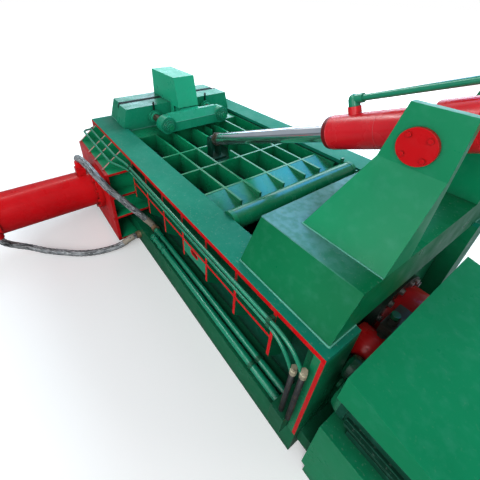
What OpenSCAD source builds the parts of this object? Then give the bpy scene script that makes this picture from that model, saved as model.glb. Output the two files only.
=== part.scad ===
// Horizontal scrap metal baler: ribbed swinging lid, lid cylinder on trunnions, sliding lid lock,
// main ram, side ram and bale exit gate. Origin on the floor, under the middle of the press body.
// X runs towards the main cylinder, Y away from the side cylinder, Z up. Millimetres.

/* [Press body] */
// Length of the press body along X
body_len = 2700; // [2600:10:2900]
// Clear width of the press chamber between its side walls
chamber_w = 1070; // [1050:2:1090]
// Height of the rail tops above the floor
rail_top = 850; // [846:1:870]
// Width of each top rail
rail_w = 198; // [190:1:210]
// Thickness of each top rail
rail_t = 25; // [20:1:30]
// Thickness of the chamber side walls
wall_t = 40; // [30:1:45]
// Height of the base channels
base_h = 195; // [180:1:205]
// Thickness of the chamber floor plate
floor_t = 20; // [12:1:25]
// Thickness of the end and rear walls
end_t = 45; // [35:1:50]
// Height of the main ram axis above the floor
ram_z = 445; // [435:1:450]

/* [Side ribs] */
// Number of upright ribs on the near side
rib_count = 7; // [5:1:7]
// Thickness of a rib
rib_t = 16; // [12:1:20]
// Height of the outer edge of a rib
rib_drop = 300; // [260:1:320]
// Height of the lengthwise shelf below the rail top
shelf_drop = 185; // [170:1:200]

/* [Lid] */
// Height of the lid ribs
lid_rib_h = 150; // [140:1:155]
// Thickness of the lid skin
lid_skin_t = 25; // [20:1:28]
// Thickness of the lid ribs
lid_rib_t = 16; // [12:1:20]
// Depth of the rib tops below the rail tops
lid_sink = 30; // [28:1:34]
// Side clearance between the lid and the chamber walls
lid_gap = 7; // [5:1:9]
// Spacing of the middle lengthwise ribs
lid_rib_step = 205; // [195:1:215]
// Offset of the outer lengthwise ribs
lid_rib_outer = 358; // [345:1:370]
// Distance between cross ribs
cross_step = 294; // [285:1:300]
// Outer radius of the hinge tube
hinge_r = 60; // [56:1:64]
// Radius of the hinge shaft
hinge_shaft_r = 35; // [30:1:38]
// Radial running clearance of the hinge shaft
hinge_fit = 0.06; // [0.03:0.01:0.1]

/* [Lid lock] */
// Radius of a lock rod
lock_rod_r = 32; // [28:1:34]
// Distance of each lock rod from the middle plane
lock_rod_y = 272; // [265:1:280]
// Height of the lock rods above the rail tops
lock_rise = 60; // [58:1:66]
// Travel of the lock rods
lock_stroke = 120; // [100:1:122]
// Height of the lock boxes above the rail tops
lock_box_h = 160; // [155:1:170]
// Height of the guard housing above the rail tops
guard_h = 388; // [375:1:400]
// Outer width of the guard housing
guard_w = 200; // [196:1:208]
// Thickness of the guard housing plate
guard_t = 8; // [6:0.5:9]

/* [Lid cylinder] */
// Radius of the chrome rod
lid_rod_r = 48; // [44:1:50]
// Outer radius of the barrel
lid_barrel_r = 86; // [84:1:90]
// Bore radius of the barrel
lid_bore_r = 70; // [66:1:72]
// Length of the barrel
lid_barrel_len = 1150; // [1120:1:1200]
// Radius of the trunnion pins
trunnion_r = 45; // [40:1:48]
// Radial running clearance of the trunnion pins
trunnion_fit = 0.06; // [0.03:0.01:0.1]
// Half distance between the trunnion stands
stand_y = 300; // [290:1:310]

/* [Rams and cylinders] */
// Outer radius of the main cylinder barrel
main_barrel_r = 198; // [190:1:202]
// Radius of the main ram rod
main_rod_r = 110; // [100:1:120]
// Travel of the main ram
main_stroke = 1120; // [1000:10:1140]
// Outer radius of the side cylinder barrel
side_barrel_r = 157; // [150:1:160]
// Radius of the side ram rod
side_rod_r = 80; // [70:1:90]
// Travel of the side ram
side_stroke = 640; // [500:10:660]
// Clearance of each ram to the plates that guide it
ram_gap = 6; // [4:0.5:8]
// Height of the side ram axis above the floor
side_z = 427; // [420:1:432]

/* [Pipes and hoses] */
// Radius of the small pipes
thin_pipe_r = 9; // [8:0.5:10]
// Radius of the large pipes
thick_pipe_r = 21; // [19:0.5:22]
// Radius of the large hoses
hose_r = 27; // [25:0.5:28]

/* [Hidden] */
$fn = 64;
eps = 0.01;

green = [0.10, 0.50, 0.36];
dark_green = [0.05, 0.28, 0.20];
bright_green = [0.12, 0.56, 0.42];
red = [0.75, 0.05, 0.06];
steel = [0.62, 0.62, 0.62];
dark_steel = [0.30, 0.26, 0.23];
chrome = [0.82, 0.85, 0.90];
black = [0.06, 0.06, 0.07];
hose_grey = [0.60, 0.62, 0.64];

// Main planes of the press body
wall_in = chamber_w / 2;
wall_out = wall_in + wall_t;
rail_out = wall_in + rail_w;
rail_low = rail_top - rail_t;
floor_top = base_h + floor_t;
channel_w = rail_out - wall_out;
channel_t = 12;

// Ends of the body, which the front and the rear groups of pieces keep to
front_x = -body_len / 2;
rear_x = body_len / 2;
rear_in = rear_x - 140;
rear_out = rear_in + end_t;

// Lid planes
rib_top = rail_top - lid_sink;
skin_top = rib_top - lid_rib_h;
skin_low = skin_top - lid_skin_t;
lid_half = wall_in - lid_gap;
hinge_x = rear_x - 800;
hinge_z = rib_top - 10;
cross_last = hinge_x - 284;
grid_front = front_x + 600;
lid_front = front_x + 205;

// Side ram box
side_x = front_x + 475;
side_half = 375;
side_open = 250;
side_plate_t = 25;
side_out = rail_out + 172;
side_plate_top = rail_top - 145;
shelf_t = 18;

// Ram sizes
ram_low = floor_top + ram_gap;
ram_high = skin_low - ram_gap;
main_face = hinge_x + 90;
main_body = 450;

// Lid cylinder line
eye_x = front_x + 970;
eye_z = rail_top - 21;
trunnion_x = rear_x - 140.08;
trunnion_z = rail_top + 614.97;
lift = atan2(trunnion_z - eye_z, trunnion_x - eye_x);
trunnion_s = norm([trunnion_x - eye_x, trunnion_z - eye_z]);
gland_s = trunnion_s - 560.4;

// Hood and stands
hood_x0 = rear_x - 515;
hood_x1 = rear_x - 25;
hood_h = 210;
hood_base = wall_in + 153;
hood_top_y = wall_in + 50;
hood_t = 20;

// A bar between two heights whose outline lies in the YZ plane
module along_x(x0, x1) {
  translate([x0, 0, 0]) rotate([90, 0, 90]) linear_extrude(height = x1 - x0) children();
}

// A plate whose outline lies in the XZ plane
module along_y(y0, y1) {
  translate([0, y1, 0]) rotate([90, 0, 0]) linear_extrude(height = y1 - y0) children();
}

module box(x0, x1, y0, y1, z0, z1) {
  translate([x0, y0, z0]) cube([x1 - x0, y1 - y0, z1 - z0]);
}

module both_sides() {
  children();
  mirror([0, 1, 0]) children();
}

module rod_x(x0, x1, y, z, r) {
  translate([x0, y, z]) rotate([0, 90, 0]) cylinder(r = r, h = x1 - x0);
}

module rod_y(x, y0, y1, z, r) {
  translate([x, y1, z]) rotate([90, 0, 0]) cylinder(r = r, h = y1 - y0);
}

// A round bar from one point to the next along a list, with ball corners
module bent_bar(points, r) {
  for (i = [0 : len(points) - 2]) {
    a = points[i];
    d = points[i + 1] - a;
    l = norm(d);
    translate(a) rotate([0, acos(d[2] / l), atan2(d[1], d[0])]) cylinder(r = r, h = l, $fn = 24);
    if (i > 0) translate(a) sphere(r = r, $fn = 24);
  }
}

// A closed tube along a route, one ring of sides at each point
function unit(v) = v / norm(v);
function tangent(p, i) = unit(p[min(i + 1, len(p) - 1)] - p[max(i - 1, 0)]);
function ring(p, i, r, sides) =
  let (t = tangent(p, i), a = unit(cross(t, [0.31, 0.17, 0.93])), b = cross(t, a))
  [for (k = [0 : sides - 1]) p[i] + r * (cos(360 * k / sides) * a + sin(360 * k / sides) * b)];
function curve_point(a, b, c, d, t) =
  0.5 * (2 * b + (c - a) * t + (2 * a - 5 * b + 4 * c - d) * t * t + (3 * b - a - 3 * c + d) * t * t * t);
function smooth(p, n) = let (m = len(p) - 1) concat([for (i = [0 : m - 1]) for (k = [0 : n - 1])
  curve_point(p[max(i - 1, 0)], p[i], p[i + 1], p[min(i + 2, m)], k / n)], [p[m]]);

module swept_tube(route, r, sides) {
  n = len(route);
  points = [for (i = [0 : n - 1]) each ring(route, i, r, sides)];
  walls = [for (i = [0 : n - 2]) for (k = [0 : sides - 1])
    let (a = i * sides + k, b = i * sides + (k + 1) % sides) [a, b, b + sides, a + sides]];
  first = [for (k = [0 : sides - 1]) sides - 1 - k];
  last = [for (k = [0 : sides - 1]) (n - 1) * sides + k];
  polyhedron(points = points, faces = concat([first], walls, [last]), convexity = 10);
}

// Hose routes, chosen by hand for the side cylinder at its place in the real machine
route_side_x = -875;
upper_route = [[-868, -1010, 726], [-800, -1002, 742], [-700, -993, 752], [-590, -980, 745],
  [-500, -952, 695], [-453, -905, 605], [-415, -850, 533], [-368, -800, 462], [-342, -745, 385],
  [-340, -695, 305], [-338, -660, 250], [-326, -648, 226], [-308, -648, 224]];
lower_route = [[-448, -770, 88], [-448, -830, 78], [-452, -900, 48], [-470, -990, 32],
  [-505, -1120, 29], [-570, -1240, 29], [-660, -1350, 29], [-740, -1450, 36], [-790, -1540, 80],
  [-800, -1610, 130], [-790, -1665, 185], [-772, -1694, 236], [-768, -1700, 262], [-768, -1700, 285]];

// Base: two outer channels and five cross beams
module base_frame() {
  color(green) {
    both_sides() along_x(front_x, rear_x) polygon([
      [-rail_out, 0], [-rail_out + channel_w, 0], [-rail_out + channel_w, channel_t],
      [-rail_out + channel_t, channel_t], [-rail_out + channel_t, base_h - channel_t],
      [-rail_out + channel_w, base_h - channel_t], [-rail_out + channel_w, base_h], [-rail_out, base_h]]);
    beam_w = 100;
    for (i = [0 : 4]) {
      x = front_x + (body_len - beam_w) * i / 4;
      box(x, x + beam_w, -rail_out + channel_t - eps, rail_out - channel_t + eps, 0, base_h);
    }
    box(rear_x - eps, unit_x0, tank_y0 + 40, tank_y1 - 40, 80, 180);
  }
}

module chamber_floor() {
  color(dark_green) box(front_x + end_t, rear_in, -wall_out, wall_out, base_h, floor_top);
}

// A side wall with the opening that the side ram or the bale passes
module wall_plate() {
  difference() {
    box(front_x + end_t, rear_in, -wall_out, -wall_in, floor_top, rail_low);
    box(side_x - side_open, side_x + side_open, -wall_out - 1, -wall_in + 1, floor_top - 1, ram_high + ram_gap);
  }
}
module near_side_wall() { color(dark_green) wall_plate(); }
module far_side_wall() { color(dark_green) mirror([0, 1, 0]) wall_plate(); }

module rail_plate() { box(front_x, rear_x, -rail_out, -wall_in, rail_low, rail_top); }
module near_rail() { color(green) rail_plate(); }
module far_rail() { color(green) mirror([0, 1, 0]) rail_plate(); }

// Upright ribs with a lengthwise shelf, welded as one frame
first_rib_x = side_x + 505;
last_rib_x = rear_x - 235;
rib_pitch = (last_rib_x - first_rib_x) / (rib_count - 1);
module rib_set(skip) {
  x_first = first_rib_x + skip * rib_pitch;
  shelf_z = rail_top - shelf_drop;
  outer_low = rail_low - rib_drop;
  for (i = [skip : rib_count - 1]) {
    x = first_rib_x + i * rib_pitch;
    along_x(x - rib_t / 2, x + rib_t / 2) polygon([[-wall_out, rail_low], [-rail_out, rail_low],
      [-rail_out, outer_low], [-rail_out + 75, outer_low - 70], [-wall_out, outer_low - 90]]);
  }
  box(x_first - rib_t / 2, last_rib_x + rib_t / 2, -rail_out, -wall_out, shelf_z - rib_t, shelf_z);
}
module near_rib_frame() { color(green) rib_set(0); }
module far_rib_frame() { color(green) mirror([0, 1, 0]) rib_set(2); }

// Cover plate between two ribs, with an oval hand hole
panel_t = 12;
module side_panel() {
  x0 = first_rib_x + 3 * rib_pitch + rib_t / 2;
  x1 = x0 + rib_pitch - rib_t;
  mid = (x0 + x1) / 2;
  z0 = rail_top - 285;
  z1 = rail_top - shelf_drop - rib_t;
  color(bright_green) difference() {
    box(x0, x1, -rail_out, -rail_out + panel_t, z0, z1);
    for (x = [mid - 18, mid + 18]) rod_y(x, -rail_out - 1, -rail_out + panel_t + 1, z0 + 60, 16);
    box(mid - 18, mid + 18, -rail_out - 1, -rail_out + panel_t + 1, z0 + 44, z0 + 76);
  }
}

module end_wall() {
  color(green) box(front_x, front_x + end_t, -rail_out, rail_out, base_h, rail_low);
}

// The rear wall lies back from the end of the body, between two cheeks with end posts
module rear_wall() {
  color(green) difference() {
    union() {
      box(rear_in, rear_out, -wall_out, wall_out, base_h, rail_low);
      both_sides() box(rear_out - eps, rear_x, -wall_out, -wall_in, base_h, rail_low);
      both_sides() box(rear_x - end_t, rear_x, -rail_out, -wall_in, base_h, rail_low);
    }
    rod_x(rear_in - 1, rear_out + 1, 0, ram_z, main_rod_r + 4);
  }
}

// Fixed beam across the rails that the lock rods enter
beam_x0 = front_x + 17;
beam_x1 = front_x + 190;
lock_z = rail_top + lock_rise;
lock_top = rail_top + lock_box_h;
rod_gap = 1.5;
module lock_beam() {
  color(green) difference() {
    along_x(beam_x0, beam_x1) polygon([[-wall_in - 15, rail_top], [wall_in + 15, rail_top],
      [wall_in - 35, lock_top], [-wall_in + 35, lock_top]]);
    for (s = [-1, 1]) rod_x(beam_x1 - lock_stroke - 10, beam_x1 + 1, s * lock_rod_y, lock_z, lock_rod_r + rod_gap);
  }
}

bracket_t = 28;
module hinge_brackets() {
  color(green) both_sides() difference() {
    union() {
      box(hinge_x - 62, hinge_x + 62, -wall_in, -wall_in + bracket_t, hinge_z - 120, hinge_z);
      rod_y(hinge_x, -wall_in, -wall_in + bracket_t, hinge_z, 62);
    }
    rod_y(hinge_x, -wall_in - 1, -wall_in + bracket_t + 1, hinge_z, hinge_shaft_r);
  }
}

module hinge_shaft() { color(steel) rod_y(hinge_x, -wall_in, wall_in, hinge_z, hinge_shaft_r); }

// Folded hood over the main ram, open below
module hood_cavity() {
  low = hood_base - hood_t;
  high = hood_top_y - hood_t;
  polygon([[-low, -1], [low, -1], [low, 0], [high, hood_h - hood_t], [-high, hood_h - hood_t], [-low, 0]]);
}
module ram_hood() {
  color(green) difference() {
    along_x(hood_x0, hood_x1) polygon([[-hood_base, rail_top], [hood_base, rail_top],
      [hood_top_y, rail_top + hood_h], [-hood_top_y, rail_top + hood_h]]);
    along_x(hood_x0 + hood_t, hood_x1 - hood_t) translate([0, rail_top]) hood_cavity();
  }
}

// Folded stand that carries one trunnion pin
stand_x0 = rear_x - 384;
stand_base_y = stand_y + 177;
stand_fold_y = stand_y + 30;
hood_top = rail_top + hood_h;
stand_fold_z = hood_top + 330;
stand_top = trunnion_z + 123;
module stand() {
  difference() {
    intersection() {
      along_x(stand_x0, hood_x1) polygon([[-stand_base_y, hood_top], [-stand_y, hood_top],
        [-stand_y, stand_top], [-stand_fold_y, stand_top], [-stand_fold_y, stand_fold_z]]);
      along_y(-stand_base_y - 1, -stand_y + 1) polygon([[stand_x0, hood_top], [hood_x1, hood_top],
        [hood_x1, stand_top], [stand_x0 + 175, stand_top], [stand_x0 + 133, stand_fold_z]]);
    }
    rod_y(trunnion_x, -stand_fold_y - 1, -stand_y + 1, trunnion_z, trunnion_r + trunnion_fit);
    rod_y(trunnion_x, -stand_base_y - 1, -stand_fold_y, trunnion_z, cap_r + 4);
  }
}
cap_r = 62;
cap_t = 14;
module near_trunnion_stand() { color(green) stand(); }
module far_trunnion_stand() { color(green) mirror([0, 1, 0]) stand(); }

module trunnion_caps() {
  color(red) both_sides() difference() {
    rod_y(trunnion_x, -stand_fold_y - cap_t, -stand_fold_y, trunnion_z, cap_r);
    for (a = [45 : 90 : 315]) rod_y(trunnion_x + 46 * cos(a), -stand_fold_y - cap_t - 1, -stand_fold_y + 1,
      trunnion_z + 46 * sin(a), 6);
  }
}
module cap_bolts() {
  color(steel) both_sides() for (a = [45 : 90 : 315])
    translate([trunnion_x + 46 * cos(a), 0, trunnion_z + 46 * sin(a)]) {
      rod_y(0, -stand_fold_y - cap_t, -stand_fold_y, 0, 6);
      translate([0, -stand_fold_y - cap_t, 0]) rotate([90, 0, 0]) cylinder(r = 9, h = 7, $fn = 6);
    }
}

// Welded box that carries the side cylinder and guides the side ram
gusset_x = [side_x - 363, side_x - 91, side_x + 79, side_x + 277];
module side_ram_box() {
  shelves = [55, 283, 478, side_plate_top - shelf_t];
  color(green) difference() {
    union() {
      box(side_x - side_half, side_x + side_half, -side_out, -side_out + side_plate_t, shelves[0], side_plate_top);
      for (s = [-1, 1]) translate([side_x, 0, 0])
        box(s > 0 ? side_open : -side_open - side_plate_t, s > 0 ? side_open + side_plate_t : -side_open,
          -side_out + side_plate_t - eps, -wall_out, floor_top, side_plate_top);
      for (z = shelves)
        box(side_x - side_half, side_x + side_half, -side_out + side_plate_t - eps,
          z < base_h ? -rail_out : -wall_out, z, z + shelf_t);
      for (x = gusset_x) along_x(x - 8, x + 8) polygon([[-side_out + 4, side_plate_top - 1],
        [-wall_out, side_plate_top - 1], [-wall_out, rail_low], [-rail_out, rail_low]]);
    }
    box(side_x - side_open, side_x + side_open, -side_out + side_plate_t, -wall_out + 1, floor_top - 1, ram_high + ram_gap);
    rod_y(side_x, -side_out - 1, -side_out + side_plate_t + 1, side_z, side_rod_r + 3);
  }
}

// Side cylinder: flange, barrel and end cap in one welded piece
flange_t = 40;
flange_rim = 38;
bolt_circle = side_barrel_r + 21;
side_barrel_len = side_stroke + 260;
side_end = side_out + side_barrel_len;
module side_cylinder_barrel() {
  color(red) difference() {
    union() {
      rod_y(side_x, -side_out - flange_t, -side_out, side_z, side_barrel_r + flange_rim);
      rod_y(side_x, -side_end, -side_out, side_z, side_barrel_r);
      rod_y(side_x, -side_end - 20, -side_end + 40, side_z, side_barrel_r + 10);
    }
    rod_y(side_x, -side_end + 45, -side_out - 60, side_z, side_barrel_r - 22);
    rod_y(side_x, -side_out - 61, -side_out + 1, side_z, side_rod_r + 0.08);
    for (a = [15 : 30 : 345]) rod_y(side_x + bolt_circle * cos(a), -side_out - flange_t - 1,
      -side_out + 1, side_z + bolt_circle * sin(a), 10);
  }
}
module side_flange_bolts() {
  color(red) for (a = [15 : 30 : 345])
    translate([side_x + bolt_circle * cos(a), -side_out, side_z + bolt_circle * sin(a)]) {
      rotate([90, 0, 0]) cylinder(r = 10, h = flange_t);
      translate([0, -flange_t, 0]) rotate([90, 0, 0]) cylinder(r = 16, h = 14, $fn = 6);
    }
}

port_top = side_plate_top - 10;
low_port_z = 287;
module side_port_block() {
  color(red) difference() {
    union() {
      box(side_x - 36, side_x + 36, -side_out - 141, -side_out - 69, side_z + side_barrel_r - 8, port_top - 55);
      translate([side_x, -side_out - 105, port_top - 55]) cylinder(r = 30, h = 55);
      box(side_x + 60, side_x + 170, -side_end + 65, -side_end + 145, side_z - 60, side_z + 60);
      translate([side_x + 107, -side_end + 105, low_port_z]) cylinder(r = hose_r + 6, h = side_z - 60 - low_port_z);
    }
    rod_y(side_x, -side_end, -side_out, side_z, side_barrel_r);
  }
}

// Main cylinder: flange, barrel and end cap in one welded piece
main_barrel_len = main_stroke + 310;
main_end = rear_out + main_barrel_len;
main_flange_rim = 47;
main_bolt_circle = main_barrel_r + 25;
main_flange_t = 45;
module main_cylinder_barrel() {
  color(red) difference() {
    union() {
      rod_x(rear_out, rear_out + main_flange_t, 0, ram_z, main_barrel_r + main_flange_rim);
      rod_x(rear_out, main_end, 0, ram_z, main_barrel_r);
      rod_x(main_end - 60, main_end + 25, 0, ram_z, main_barrel_r + 14);
    }
    rod_x(rear_out + 80, main_end - 60, 0, ram_z, main_barrel_r - 32);
    rod_x(rear_out - 1, rear_out + 81, 0, ram_z, main_rod_r + 0.08);
    for (a = [11.25 : 22.5 : 349]) rod_x(rear_out - 1, rear_out + main_flange_t + 1,
      main_bolt_circle * cos(a), ram_z + main_bolt_circle * sin(a), 12);
  }
}
module main_flange_bolts() {
  color(steel) for (a = [11.25 : 22.5 : 349])
    translate([rear_out, main_bolt_circle * cos(a), ram_z + main_bolt_circle * sin(a)]) {
      rotate([0, 90, 0]) cylinder(r = 12, h = main_flange_t);
      translate([main_flange_t, 0, 0]) rotate([0, 90, 0]) cylinder(r = 17, h = 15, $fn = 6);
    }
}

// Port block on the near upper side of the main barrel, beside the end of the hood
module main_port_block() {
  mid_x = rear_x + 17;
  color(black) difference() {
    union() {
      box(mid_x - 29, mid_x + 29, -290, -120, ram_z + 92, ram_z + 220);
      translate([mid_x, -245, ram_z + 220]) cylinder(r = 22, h = 34);
      rod_y(mid_x, -322, -290, ram_z + 158, 24);
    }
    rod_x(rear_out, main_end, 0, ram_z, main_barrel_r);
  }
}

// Two small pipes: along the gussets, down to the rail edge, along it, then down to the manifold
thin_y = rail_out + 26;
manifold_top = 330;
thin_a_y = rail_out + 50;
thin_b_y = rail_out + 99;
thin_a = [[side_x - 387, -wall_out, rail_low - 22], [side_x - 387, -thin_a_y, rail_low - 22],
  [side_x + 312, -thin_a_y, rail_low - 22], [side_x + 470, -thin_y, rail_top - 45],
  [rear_x - 180, -thin_y, rail_top - 45], [rear_x - 115, -thin_y, rail_top - 85],
  [rear_x - 50, -thin_y, rail_top - 160], [rear_x - 50, -thin_y, manifold_top]];
thin_b = [[side_x - 447, -rail_out, rail_low - 58], [side_x - 447, -thin_b_y, rail_low - 58],
  [side_x + 292, -thin_b_y, rail_low - 58], [side_x + 497, -thin_y, rail_top - 80],
  [rear_x - 210, -thin_y, rail_top - 80], [rear_x - 150, -thin_y, rail_top - 125],
  [rear_x - 100, -thin_y, rail_top - 200], [rear_x - 100, -thin_y, manifold_top]];
module thin_pipes() {
  color(bright_green) {
    bent_bar(thin_a, thin_pipe_r);
    bent_bar(thin_b, thin_pipe_r);
  }
}

// Two large pipes lying on the near base channel
thick_z = base_h + thick_pipe_r;
thick_y = [-rail_out + 33, -rail_out + 85];
module thick_pipes() {
  color(bright_green) {
    rod_x(side_x + 660, rear_x - end_t - 5, thick_y[0], thick_z, thick_pipe_r);
    rod_x(side_x + 605, rear_x - end_t - 5, thick_y[1], thick_z, thick_pipe_r);
  }
}

module pipe_clamps() {
  thin_pad = thin_pipe_r + 3;
  thick_pad = thick_pipe_r + 4;
  color(dark_green) {
    for (x = [side_x + 530, rear_x - 238]) difference() {
      union() {
        for (z = [rail_top - 45, rail_top - 80]) rod_x(x - 9, x + 9, -thin_y, z, thin_pad);
        box(x - 9, x + 9, -thin_y, -rail_out, rail_top - 86, rail_top - 39);
      }
      for (z = [rail_top - 45, rail_top - 80]) rod_x(x - 10, x + 10, -thin_y, z, thin_pipe_r + 0.3);
    }
    difference() {
      x = rear_x - 340;
      union() {
        for (y = thick_y) rod_x(x - 10, x + 10, y, thick_z, thick_pad);
        box(x - 10, x + 10, thick_y[0], thick_y[1], base_h, thick_z + 8);
      }
      for (y = thick_y) rod_x(x - 11, x + 11, y, thick_z, thick_pipe_r + 0.3);
      box(x - 11, x + 11, thick_y[0] - 40, thick_y[1] + 40, base_h - 20, base_h);
    }
  }
}

module coupling(x, y) {
  difference() {
    union() {
      rod_x(x - 26, x + 26, y, thick_z + 4, thick_pipe_r + 3.5);
      for (s = [-1, 1]) rod_x(x + s * 8 - 6, x + s * 8 + 6, y, thick_z + 4, thick_pipe_r + 4);
    }
    rod_x(x - 27, x + 27, y, thick_z, thick_pipe_r + 0.3);
  }
}
module pipe_couplings() {
  color(bright_green) {
    coupling(side_x + 815, thick_y[0]);
    coupling(side_x + 680, thick_y[1]);
  }
}

module pipe_manifold() {
  color(dark_steel) difference() {
    box(rear_x - 125, rear_x - end_t - 2, -thin_y - 26, thick_y[1] + thick_pipe_r + 6, base_h, manifold_top);
    for (y = thick_y) rod_x(rear_x - 126, rear_x, y, thick_z, thick_pipe_r + 0.3);
  }
}

module with_side_cylinder() { translate([side_x - route_side_x, 0, 0]) children(); }
module hose_upper() { color(hose_grey) with_side_cylinder() swept_tube(smooth(upper_route, 3), hose_r, 10); }
module hose_lower() { color(hose_grey) with_side_cylinder() swept_tube(smooth(lower_route, 3), hose_r, 10); }

// Threaded ends that hold the two hoses
module hose_fittings() {
  color(steel) with_side_cylinder() {
    rod_y(-448, -766.6, -rail_out, 88, hose_r + 5);
    rod_x(-305, -270, thick_y[1], base_h + hose_r + 2, hose_r + 2);
  }
}

// Exit gate on the far side, its guides and its cylinder
gate_y0 = wall_out + 5;
gate_t = 38;
gate_over = 30;
gate_z0 = base_h + 22;
gate_z1 = ram_high + ram_gap + gate_over;
gate_stroke = 540;
module gate_guides() {
  color(green) {
    x0 = side_x - side_open - gate_over - 10;
    x1 = side_x + side_open + gate_over + gate_stroke + 5;
    box(x0, x1, wall_out, gate_y0 + gate_t + 20, base_h, gate_z0 - 2);
    along_x(x0, x1) polygon([[wall_out, gate_z1 + 2], [gate_y0 + gate_t + 20, gate_z1 + 2],
      [gate_y0 + gate_t + 20, gate_z1 + 20], [wall_out, gate_z1 + 20]]);
    box(x0, x1, gate_y0 + gate_t + 3, gate_y0 + gate_t + 20, gate_z1 - 20, gate_z1 + 3);
    box(x0, x1, gate_y0 + gate_t + 3, gate_y0 + gate_t + 20, gate_z0 - 3, gate_z0 + 16);
  }
}
gate_cyl_y = wall_out + 107;
gate_cyl_z = 300;
gate_cyl_x = side_x + 915;
module exit_gate() {
  lug_x = side_x + side_open;
  color(dark_green) {
    box(side_x - side_open - gate_over, side_x + side_open + gate_over, gate_y0, gate_y0 + gate_t, gate_z0, gate_z1);
    box(lug_x - 30, lug_x + 10, gate_y0 + gate_t - eps, gate_cyl_y + 20, gate_cyl_z - 26, gate_cyl_z + 26);
  }
  color(chrome) rod_x(lug_x, gate_cyl_x + 40, gate_cyl_y, gate_cyl_z, 18);
}
module gate_cylinder_barrel() {
  color(red) difference() {
    union() {
      rod_x(gate_cyl_x, gate_cyl_x + 660, gate_cyl_y, gate_cyl_z, 38);
      for (x = [gate_cyl_x + 60, gate_cyl_x + 560]) box(x, x + 40, gate_cyl_y - 34, gate_cyl_y + 34, base_h, gate_cyl_z);
    }
    rod_x(gate_cyl_x - 1, gate_cyl_x + 630, gate_cyl_y, gate_cyl_z, 18.08);
  }
}

// Power unit: oil tank on the floor beside the main cylinder, motor, pump and sloping console
unit_x0 = rear_x + 70;
unit_x1 = unit_x0 + 900;
tank_y0 = -rail_out + 3;
tank_y1 = -main_barrel_r - 60;
tank_top = 470;
module power_unit_tank() {
  color(green) difference() {
    union() {
      box(unit_x0, unit_x1, tank_y0, tank_y1, 60, tank_top);
      for (x = [unit_x0 + 20, unit_x1 - 100]) box(x, x + 80, tank_y0, tank_y1, 0, 61);
    }
    box(unit_x0 + 8, unit_x1 - 8, tank_y0 + 8, tank_y1 - 8, 68, tank_top - 8);
  }
}

console_y1 = 120;
console_low = 692;
console_t = 10;
// Sloping box, shrunk by an inset and open below when the inset is above zero
module console_shell(inset, tilt_x, tilt_y) {
  difference() {
    box(unit_x0 + inset, unit_x0 + 620 - inset, tank_y0 + 20 + inset, console_y1 - inset,
      console_low - inset, 980);
    translate([unit_x0, tank_y0 + 20, 835 - inset]) rotate([tilt_x, tilt_y, 0])
      translate([-400, -400, 0]) cube([1800, 2000, 900]);
  }
}
module console_cover() {
  tilt_x = 5;
  tilt_y = 12;
  color(green) {
    difference() {
      console_shell(0, tilt_x, tilt_y);
      console_shell(console_t, tilt_x, tilt_y);
    }
    box(unit_x0 + 560, unit_x0 + 620, tank_y0 + 20, tank_y0 + 60, tank_top, console_low + 20);
    box(unit_x0 + 560, unit_x0 + 620, tank_y1 - 60, tank_y1 - 20, tank_top, console_low + 20);
  }
}

motor_y = tank_y0 + 140;
motor_z = 578;
motor_r = 100;
module pump_motor() {
  color(dark_green) {
    rod_x(unit_x0 + 12, unit_x0 + 40, motor_y, motor_z, motor_r - 6);
    rod_x(unit_x0 + 40, unit_x0 + 330, motor_y, motor_z, motor_r - 14);
    rod_x(unit_x0 + 330, unit_x0 + 350, motor_y, motor_z, motor_r + 8);
    for (a = [0 : 20 : 340]) translate([unit_x0 + 50, motor_y, motor_z]) rotate([a, 0, 0])
      box(0, 270, -2.5, 2.5, motor_r - 16, motor_r);
    box(unit_x0 + 70, unit_x0 + 310, motor_y - 80, motor_y + 80, tank_top, motor_z - motor_r + 24);
  }
}
module hydraulic_pump() {
  color(dark_steel) {
    rod_x(unit_x0 + 350, unit_x0 + 400, motor_y, motor_z, 70);
    rod_x(unit_x0 + 400, unit_x0 + 540, motor_y, motor_z, 52);
    box(unit_x0 + 430, unit_x0 + 510, motor_y - 40, motor_y + 40, tank_top, motor_z);
  }
}

// Lid: rib grid with the front apron
pocket_x0 = eye_x - 80;
pocket_x1 = eye_x + 224;
pocket_half = 110;
lid_back = hinge_x - 110;
module lid_grid() {
  long_ribs = [-lid_rib_outer, -lid_rib_step, lid_rib_step, lid_rib_outer];
  cross_ribs = [cross_last - 2 * cross_step, cross_last - cross_step, cross_last];
  t = lid_rib_t / 2;
  slope_low = rib_top - 50;
  color(green) difference() {
    union() {
      for (y = long_ribs) box(grid_front, cross_last + 170, y - t, y + t, skin_top, rib_top);
      for (y = [-lid_half + lid_rib_t, lid_half])
        box(lid_front, lid_back, y - lid_rib_t, y, skin_top, rib_top);
      box(grid_front, pocket_x0, -t, t, skin_top, rib_top);
      box(pocket_x1, cross_last + 170, -t, t, skin_top, rib_top);
      box(grid_front, pocket_x0 - 150, 128, 138, skin_top, rib_top - 12);
      for (x = cross_ribs) box(x - t, x + t, -lid_half, lid_half, skin_top, rib_top);
      box(lid_front, grid_front, -lid_half, lid_half, rib_top - 20, rib_top);
      box(grid_front - lid_rib_t, grid_front, -lid_half, lid_half, skin_top, rib_top);
      box(lid_front, lid_front + lid_rib_t, -lid_half, lid_half, skin_top, rib_top);
      along_y(-lid_half, lid_half) polygon([[cross_last, rib_top], [cross_last, rib_top - 20],
        [lid_back + 2, slope_low - 20], [lid_back + 8, slope_low]]);
    }
    box(pocket_x0, pocket_x1, -pocket_half, pocket_half, skin_top - 1, rib_top + 1);
    rod_y(hinge_x, -lid_half - 1, lid_half + 1, hinge_z, hinge_r);
  }
}
module lid_skin() {
  color(dark_green) box(lid_front, lid_back, -lid_half, lid_half, skin_low, skin_top);
}

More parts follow.
